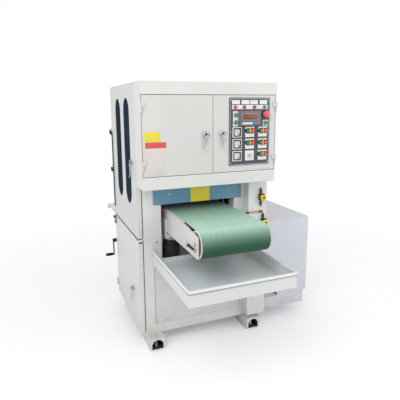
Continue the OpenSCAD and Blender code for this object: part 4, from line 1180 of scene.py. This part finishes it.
class SANDER_OT_conveyor(bpy.types.Operator):
    """Makes the feed belt, rollers, belt tensioners, clamp lever and feed motor"""

    bl_idname = "sander.conveyor"
    bl_label = "Feed conveyor"

    belt_thick = 3
    # Distances in metres from the head's middle over which the belt's painted shade gives way to its full
    # painted sheen
    bloom_fade = (0.3, 0.7)

    def execute(self, context):
        dress(cabinet_paint(), "conveyor_bed")
        self.belt()
        self.roller("front_roller", "nose_roller")
        self.roller("rear_roller", "drive_roller")
        self.tension()
        self.motor()
        return {"FINISHED"}

    def belt(self):
        """Endless belt: a flat section with cut corners carried round two half circles and the two
        straights between them."""
        low, high = box_of("feed_belt")
        middle, half = (low + high) / 2, (high[0] - low[0]) / 2
        outer = (high[2] - low[2]) / 2
        front, rear = low[1] + outer, high[1] - outer
        t = np.linspace(0, TURN / 2, 40)
        run = np.linspace(0, 1, 60)[1:-1]
        out = np.concatenate([columns(-np.sin(t), np.cos(t)), columns(0 * run, -1),
                              columns(np.sin(t), -np.cos(t)), columns(0 * run, 1)])
        hub = np.concatenate([0 * t + front, front + (rear - front) * run,
                              0 * t + rear, rear + (front - rear) * run])
        section = oblong(2 * half, self.belt_thick, 0.8)
        face = columns(np.linspace(half - 2, 2 - half, 24), self.belt_thick / 2)
        section = np.concatenate([section[:2], face, section[2:]])
        reach = outer - self.belt_thick / 2 + section[:, 1]
        grid = np.empty((len(out), len(section), 3))
        grid[:, :, 0] = middle[0] + section[:, 0]
        grid[:, :, 1] = hub[:, None] + reach * out[:, :1]
        grid[:, :, 2] = middle[2] + reach * out[:, 1:]
        centre = middle[0] * MM, middle_of("upper_cabinet")[1] * MM
        green = belt_weave("feed belt green", finishes().belt, centre, half * MM, self.bloom_fade)
        loop = stitch(grid, close_rows=True)
        piece("feed_belt_loop", [(green, loop)], "table", ("feed_belt",))

    def roller(self, node, body):
        """Roller with a pale ring and a tan web in each end, turned about its shaft."""
        low, high = box_of(node)
        belt_low, belt_high = box_of("feed_belt")
        radius = (high[2] - low[2]) / 2
        _, y, z = (low + high) / 2
        x0, x1 = belt_low[0] + 1, belt_high[0] - 1
        wide = x1 - x0
        inner = radius - 10
        shell = [(0, 4), (inner, 4), (inner, 0), (radius, 0),
                 (radius, wide), (inner, wide), (inner, wide - 4), (0, wide - 4)]
        ring = [(inner - 0.5, -3), (radius - 0.4, -3), (radius - 0.4, 0.4),
                (radius - 1.2, 0.9), (inner + 0.2, 0.9), (inner - 0.5, 0.2)]
        web = [(0, -3.9), (inner - 0.6, -3.9), (inner - 0.6, -2.8), (radius * 0.5, -1.6),
               (radius * 0.32, -1.2), (radius * 0.3, 0.6), (0, 0.8)]
        tan = paint("roller web tan", linear(136, 116, 104), rough=0.5, edge=0.002)
        pale = paint("roller ring cream", linear(236, 232, 224), rough=0.45, edge=0.0015)
        parts = [(rubber("roller lagging", linear(60, 60, 62)), lathe(shell, (x0, y, z), X, 64))]
        for x, out in ((x0, -X), (x1, X)):
            parts += [(pale, lathe(ring, (x, y, z), out, 64, ring=True)),
                      (tan, lathe(web, (x, y, z), out, 64))]
        parts.append((steel(), soft_rod((low[0], y, z), X, 15, high[0] - low[0])))
        piece(node + "_turned", parts, body, (node,))

    def tension(self):
        """Threaded rods, as lathes that step between core and crest, their lock nuts, and the clamp lever."""
        low, high = box_of("conveyor_bed")
        z = middle_of("front_roller")[2] - 28
        turns = 60
        y0, y1 = CORNER[1] - 352, CORNER[1] - 232
        thread = columns(np.tile([5.3, 6.2], turns), np.repeat(np.linspace(0, y1 - y0, turns), 2))
        thread = np.vstack([[0, 0], thread, [0, y1 - y0]])
        parts = []
        for x in (low[0] + 6, high[0] - 6):
            nuts = [hex_head((x, y, z), Y, 10.5, 8) for y in (y0 + 4, y1 - 12)]
            parts += [(dark_steel(), lathe(thread, (x, y0, z), Y, 18)), (steel(), *nuts)]
        piece("tension_screws", parts, "table")
        base = np.array([box_of("feed_belt")[0][0] - 6, CORNER[1] - 165, 903.5])
        bar = bezier([base + (0, 0, 4), base + (0, -40, 6), base + (0, -90, 0), base + (0, -128, -6)])
        lever = tube(bar, taper(bar, [0, 0.3, 0.9, 1], [5, 5, 8, 5]), Z, 0.75)
        pivot = lathe([(0, -2), (9, -2), (9, 7), (6, 10), (0, 10.4)], base, Z, 24)
        piece("clamp_lever", [(black_plastic(), lever), (steel(), pivot)], "table")

    def motor(self):
        """Gear box with soft corners, and a motor turned with a row of cooling fins."""
        low, high = box_of("feed_motor")
        _, y, z = (low + high) / 2
        x = low[0] + 90
        length = high[0] - x
        fins = trim().fins
        pitch = length * 0.7 / fins
        at = length * 0.1 + (np.arange(fins)[:, None] + [0, 0.12, 0.5, 0.62]) * pitch
        ribs = columns(np.tile([41, 48, 48, 41], fins), at.ravel())
        profile = np.vstack([[0, 0], [43, 0], ribs, [43, length * 0.82], [48, length * 0.84],
                             [48, length - 8], [40, length], [0, length]])
        gear = slab(low, (x, high[1], high[2]), 0, 14, 6)
        lid = slab((x + 30, y - 28, z + 36), (x + 95, y + 28, high[2] + 12), 2, 6, 3)
        piece("feed_gear_motor", [(motor_paint(), gear, lathe(profile, (x, y, z), X, 40), lid)], "table",
              ("feed_motor",))


class SANDER_OT_jacks(bpy.types.Operator):
    """Makes the pleated dust covers, flanges and screws of the four lifting jacks"""

    bl_idname = "sander.jacks"
    bl_label = "Lifting jacks"

    radius = 58
    flange_thick = 12
    pitch = 12

    def execute(self, context):
        black = rubber("pleated cover black", linear(30, 30, 33))
        low, high = box_of("jack_sleeves")
        cover_low, cover_high = box_of("lift_screws")
        foot, top = cover_low[2], cover_high[2] - self.flange_thick
        inner = self.radius + (cover_high - cover_low - high + low)[0] / 2
        sleeve = self.pleats(low[2], high[2], self.radius)
        cover = self.pleats(high[2] - 40, top, inner)
        flange = [(0, 0), (inner, 0), (inner, 9), (inner - 3, 11.8), (0, 11.8)]
        sleeves, covers = [], []
        for x, y, _ in four_corners("jack_sleeves", self.radius):
            sleeves.append((black, lathe(sleeve, (x, y, 0), Z, 48, ring=True)))
            covers += [(black, lathe(cover, (x, y, 0), Z, 48, ring=True)),
                       (steel(), lathe(flange, (x, y, top), Z, 48), self.screw((x, y, foot), top - foot))]
        piece("jack_covers_lower", sleeves, "frame", ("jack_sleeves",))
        piece("jack_covers_upper", covers, "table", ("lift_screws",))
        return {"FINISHED"}

    def pleats(self, low, high, radius):
        """Closed loop: up the outside along a cosine of the height, and back down a straight inner wall."""
        z = np.linspace(low, high, 8 * trim().pleats + 1)
        swing = np.cos((z - low) / (high - low) * trim().pleats * TURN)
        inner = radius - 5.5
        return np.vstack([columns(radius - 1.4 - 1.4 * swing, z), [(inner, high), (inner, low)]])

    def screw(self, foot, length):
        """Square-cut thread as rings: a lathe whose radius steps between core and crest."""
        turns = int(length / self.pitch)
        along = (np.arange(turns)[:, None] * self.pitch + np.array([0, 2, 6, 8])).ravel()
        thread = columns(np.tile([12.5, 14.8, 14.8, 12.5], turns), along)
        return lathe(np.vstack([[0, 0], thread, [0, length]]), foot, Z, 24)


class SANDER_OT_tray(bpy.types.Operator):
    """Makes the dust tray with its rolled rim, a painted highlight on the rim's bead and a painted shadow
    under it, a floor painted lighter than the walls to stand for light, and drain holes drawn as rings round
    dark discs of painted shade
    """

    bl_idname = "sander.tray"
    bl_label = "Dust tray"

    rim = 7
    wall = 3
    lip = 30
    bead = 17
    # Height of the dark strip of painted shadow under the bead
    fold = 3
    corner = 14
    drains = ((-13, 414.7), (13, 414.7))

    def execute(self, context):
        enamel = paint("tray enamel", finishes().tray, rough=0.36, dust=0.14)
        # Lighter copy of the tray's enamel on the rim's bead: a painted highlight
        bright = paint("tray rim enamel", linear(238, 240, 240), rough=0.36)
        # Dark grey in the fold under the bead: a painted shadow
        grey = paint("tray fold grey", linear(160, 162, 162), rough=0.5)
        # Lighter copy of the tray's enamel on the floor and drain rings: painted light under the belt
        pale = paint("tray floor enamel", linear(239, 245, 254), rough=0.36, dust=0.06)
        low, high = box_of("dust_tray")
        x0, y0, x1, y1 = low[0] + self.rim, low[1] + self.rim, high[0] - self.rim, high[1] - self.wall / 2
        bottom, level = low[2], high[2] - self.rim
        bead = oblong(2 * self.rim, self.bead, 4, self.rim - self.bead / 2)
        fold = oblong(4, self.fold, 0.4, self.rim - self.bead - self.fold / 2) + (3.5, 0)
        side = oblong(self.wall, level - bottom - 1, 0.8, (bottom - level) / 2)
        rails = [self.rail(x0, y0, x1, y1, section, level) for section in (bead, fold, side)]
        lip = slab((x0, y1 - self.wall / 2, bottom), (x1, y1 + self.wall / 2, bottom + self.lip), 1, 2, 0.8)
        floor = slab((x0, y0, bottom), (x1, y1, bottom + self.wall), 2, 4, 1)
        parts = [(bright, rails[0]), (grey, rails[1]), (enamel, rails[2], lip), (pale, floor)]
        ring = [(4, 0), (6, 0), (5.8, 1), (4, 0.6)]
        # Dark discs in the drain holes: painted shade
        dark = rubber("drain dark", linear(22, 22, 24))
        for across, along in self.drains:
            at = np.array([(low[0] + high[0]) / 2 + across, low[1] + along, bottom + self.wall])
            parts += [(pale, lathe(ring, at, Z, 32, ring=True)),
                      (dark, soft_rod(at - Z, Z, 4.1, 1.3, 0.2, 32))]
        piece("tray_pressing", parts, "tray", ("dust_tray",))
        return {"FINISHED"}

    def rail(self, x0, y0, x1, y1, section, level):
        """Carries a section along the left side, the front and the right side, round two corners."""
        t = np.linspace(0, TURN / 4, 8)
        side = np.linspace(y1, y0 + self.corner, 14)[:-1]
        bend = columns(self.corner * (1 - np.cos(t)), self.corner * (1 - np.sin(t)))
        path = np.concatenate([columns(x0, side), (x0, y0) + bend, (x1, y0) + bend[::-1] * (-1, 1),
                               columns(x1, side[::-1])])
        left = np.concatenate([columns(-1, 0 * side), columns(-np.cos(t), -np.sin(t))])
        out = np.concatenate([left, left[::-1] * (-1, 1)])
        grid = np.empty((len(path), len(section), 3))
        grid[:, :, :2] = path[:, None] + section[:, 0, None] * out[:, None]
        grid[:, :, 2] = level + section[:, 1]
        return capped(grid)


class SANDER_OT_drive_housing(bpy.types.Operator):
    """Paints the side drive housing and adds its cover screws, the back of its hand hole and a dark strip of
    painted shade along the hole's inner side
    """

    bl_idname = "sander.drive_housing"
    bl_label = "Drive housing"

    def execute(self, context):
        dress(paint("housing cool enamel", finishes().housing, rough=0.4), "drive_housing")
        low, high = box_of("drive_housing")
        heads = [screw_head((high[0], y, z), X, trim().screw / MM)
                 for y in np.linspace(low[1] + 40, high[1] - 40, 4) for z in (low[2] + 140, high[2] - 30)]
        piece("housing_screws", [(steel(), *heads)], "frame")
        curve = bezier([spot(918, 161.5, 163), spot(918, 163, 185), spot(918, 184, 203)], 10)[:, None]
        wide, thick = np.array([[0], [120]]) * X, 1.5
        scoop = capped(np.concatenate([curve + wide, curve + Y * thick + wide[::-1]], 1))
        # Dark flat tube down the hole's right side: painted shade on its inner wall
        shadow_edge = tube([spot(1008, 160.5, 206), spot(1024.5, 160.5, 188), spot(1041, 160.5, 170)], 4.2, Y, 0.25)
        grey = paint("hand hole grey", linear(176, 180, 190), rough=0.45)
        shadow = rubber("hand hole shadow", linear(40, 42, 46))
        piece("hand_hole_scoop", [(grey, scoop), (shadow, shadow_edge)], "frame")
        return {"FINISHED"}


class SANDER_OT_crank(bpy.types.Operator):
    """Makes the hand crank: hub, flat arm and turned grip"""

    bl_idname = "sander.crank"
    bl_label = "Hand crank"

    def execute(self, context):
        low, high = box_of("hand_crank")
        _, y, top = joint_place("crank_turn")
        grip_z, x0 = low[2] + 11, CORNER[0] - 22
        arm = slab((x0, y - 10.5, grip_z - 10.5), (x0 + 8, y + 10.5, top + 10.5), 0, 10.5, 2)
        hub = [(0, -3), (10, -3), (14.5, -1), (14.8, 12), (14.8, 50), (12.5, 53), (0, 53)]
        shaft = soft_rod((x0 + 50, y, top), X, 9.8, high[0] - x0 - 50)
        length = x0 - low[0]
        s = np.linspace(0, 1, 20)
        swell = 8.8 + 3.2 * np.sin(s * TURN / 2) ** 0.6 - 0.6 * np.cos(s * TURN * 6)
        grip = np.vstack([[0, 2], columns(swell, 2 + s * (length - 3)), [6, length], [0, length]])
        parts = [(dark_steel(), arm, lathe(hub, (x0, y, top), X, 36)), (steel(), shaft),
                 (black_plastic(), lathe(grip, (x0, y, grip_z), -X))]
        piece("crank_turned", parts, "crank", ("hand_crank",))
        return {"FINISHED"}


class SANDER_OT_feet(bpy.types.Operator):
    """Makes the four levelling bolts with pads, threads and nuts"""

    bl_idname = "sander.feet"
    bl_label = "Levelling bolts"

    def execute(self, context):
        top = box_of("levelling_bolts")[1][2]
        pad = np.array([(0, 0), (1, 0), (1, 4), (0.9, 6.8), (0.55, 8.2), (0, 8.5)]) * (PAD_RADIUS, 1)
        along = np.arange(8, top - 1, 1.2)
        thread = columns(np.where(np.arange(len(along)) % 2, 7.8, 7.0), along)
        stud = np.vstack([[0, 6], thread, [0, along[-1]]])
        parts = []
        for x, y, _ in four_corners("levelling_bolts", PAD_RADIUS):
            nuts = [hex_head((x, y, z), Z, 14.5, height) for z, height in ((20, 10), (top - 22, 12))]
            parts += [(rubber("foot pad", linear(44, 44, 46)), lathe(pad, (x, y, 0), Z, 36)),
                      (steel(), lathe(stud, (x, y, 0), Z, 20), *nuts)]
        piece("levelling_bolts_turned", parts, "frame", ("levelling_bolts",))
        return {"FINISHED"}


class SANDER_OT_heads(bpy.types.Operator):
    """Finishes the drums, idlers, abrasive belts, head plate with its platen, motors and drive belts"""

    bl_idname = "sander.heads"
    bl_label = "Sanding heads"

    def execute(self, context):
        turned = metal("turned drum steel", linear(170, 170, 172), stretch=(900.0, 40.0, 40.0))
        dress(turned, *("idler_%d" % k for k in (1, 2, 3)))
        dress(rubber("contact drum rubber", linear(58, 50, 46)), *("drum_%d" % k for k in (1, 2, 3)))
        dress(abrasive_cloth("abrasive cloth", finishes().abrasive), "abrasive_belts")
        dress(paint("head plate grey", linear(176, 178, 182), rough=0.45), "head_frame")
        dress(motor_paint(), "head_motors")
        dress(rubber("drive belt black", linear(28, 28, 30)), "drive_belts")
        return {"FINISHED"}


class SANDER_OT_switch_gear(bpy.types.Operator):
    """Makes the switch gear behind the front doors: mounting plate, rails, contactors, ducts and wires"""

    bl_idname = "sander.switch_gear"
    bl_label = "Switch gear"

    # Faces of the mounting plate, heights of ducts and rails, and where each row's wires start and end
    back, front = 146, 142
    ducts = (1205, 1385, 1565)
    rails = (1295, 1475)
    wire_ends = ((1340, 1375), (1250, 1215), (1520, 1555), (1430, 1395))

    def execute(self, context):
        zinc = metal("zinc plate", linear(196, 198, 196), rough=0.38, stretch=(400.0, 400.0, 12.0))
        grey = plastic("duct grey", linear(150, 152, 154), rough=0.5)
        ivory, black = plastic("contactor ivory", linear(214, 210, 198), rough=0.45), black_plastic()
        front = self.front
        parts = [(zinc, block((50, 840), (front, self.back), (1180, 1600), 6, 1)),
                 (grey, *(block((70, 820), (front - 45, front), (z - 18, z + 18), 2, 1) for z in self.ducts)),
                 (zinc, *(block((80, 810), (front - 9, front), (z - 17.5, z + 17.5), 1, 0.5)
                          for z in self.rails))]
        for row, z in enumerate(self.rails):
            for k, x in enumerate(np.linspace(100, 660, 8), row):
                tall, face = 42.5 if k % 3 else 34, front - (62 if k % 2 else 50)
                case, window = (black, ivory) if k % 3 == 1 else (ivory, black)
                parts += [(case, block((x, x + 56), (face, front - 8), (z - tall, z + tall), 3, 1.5)),
                          (window, block((x + 12, x + 44), (face - 7, face), (z - 14, z + 14), 2, 1))]
        piece("switch_gear", parts, "frame")
        colours = (plastic("wire blue", linear(48, 66, 120), rough=0.45),
                   plastic("wire red", linear(170, 46, 42), rough=0.45))
        wires = [(colours[k % 2], *(self.wire(x, *ends) for ends in self.wire_ends))
                 for k, x in enumerate(np.linspace(120, 700, 16))]
        piece("switch_wires", wires, "frame")
        return {"FINISHED"}

    def wire(self, x, start, end):
        """Thin tube along a curve that bows out from a contactor to a duct."""
        path = [spot(x, self.front - 35, start - (end - start) * 0.3),
                spot(x, self.front - 50, (start + end) / 2), spot(x + 4, self.front - 30, end)]
        return tube(bezier(path, 8), 2.2, X, 1.0, 6)


OPERATORS = (
    SANDER_OT_stage, SANDER_OT_cabinet, SANDER_OT_doors, SANDER_OT_handles, SANDER_OT_placards,
    SANDER_OT_control_panel, SANDER_OT_meters, SANDER_OT_buttons, SANDER_OT_valve_column,
    SANDER_OT_conveyor, SANDER_OT_jacks, SANDER_OT_tray, SANDER_OT_drive_housing, SANDER_OT_crank,
    SANDER_OT_feet, SANDER_OT_heads, SANDER_OT_switch_gear,
)


class SANDER_PT_build(bpy.types.Panel):
    """Lists the steps that dress the sander"""

    bl_idname = "SANDER_PT_build"
    bl_label = "Wide Belt Sander"
    bl_space_type = "VIEW_3D"
    bl_region_type = "UI"
    bl_category = "Sander"

    def draw(self, context):
        for step in OPERATORS:
            self.layout.operator(step.bl_idname)
        for group in (context.scene.sander_finish, context.scene.sander_trim, context.scene.sander_stage):
            column = self.layout.column()
            for name in group.__annotations__:
                column.prop(group, name)


CLASSES = (SanderFinish, SanderTrim, SanderStage, *OPERATORS, SANDER_PT_build)


def register():
    for item in CLASSES:
        bpy.utils.register_class(item)
    bpy.types.Scene.sander_finish = PointerProperty(type=SanderFinish)
    bpy.types.Scene.sander_trim = PointerProperty(type=SanderTrim)
    bpy.types.Scene.sander_stage = PointerProperty(type=SanderStage)


def unregister():
    del bpy.types.Scene.sander_stage
    del bpy.types.Scene.sander_trim
    del bpy.types.Scene.sander_finish
    for item in reversed(CLASSES):
        bpy.utils.unregister_class(item)


def main():
    """Registers the add-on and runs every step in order."""
    register()
    for step in OPERATORS:
        getattr(bpy.ops.sander, step.bl_idname.split(".")[1])()


if __name__ == "__main__":
    main()
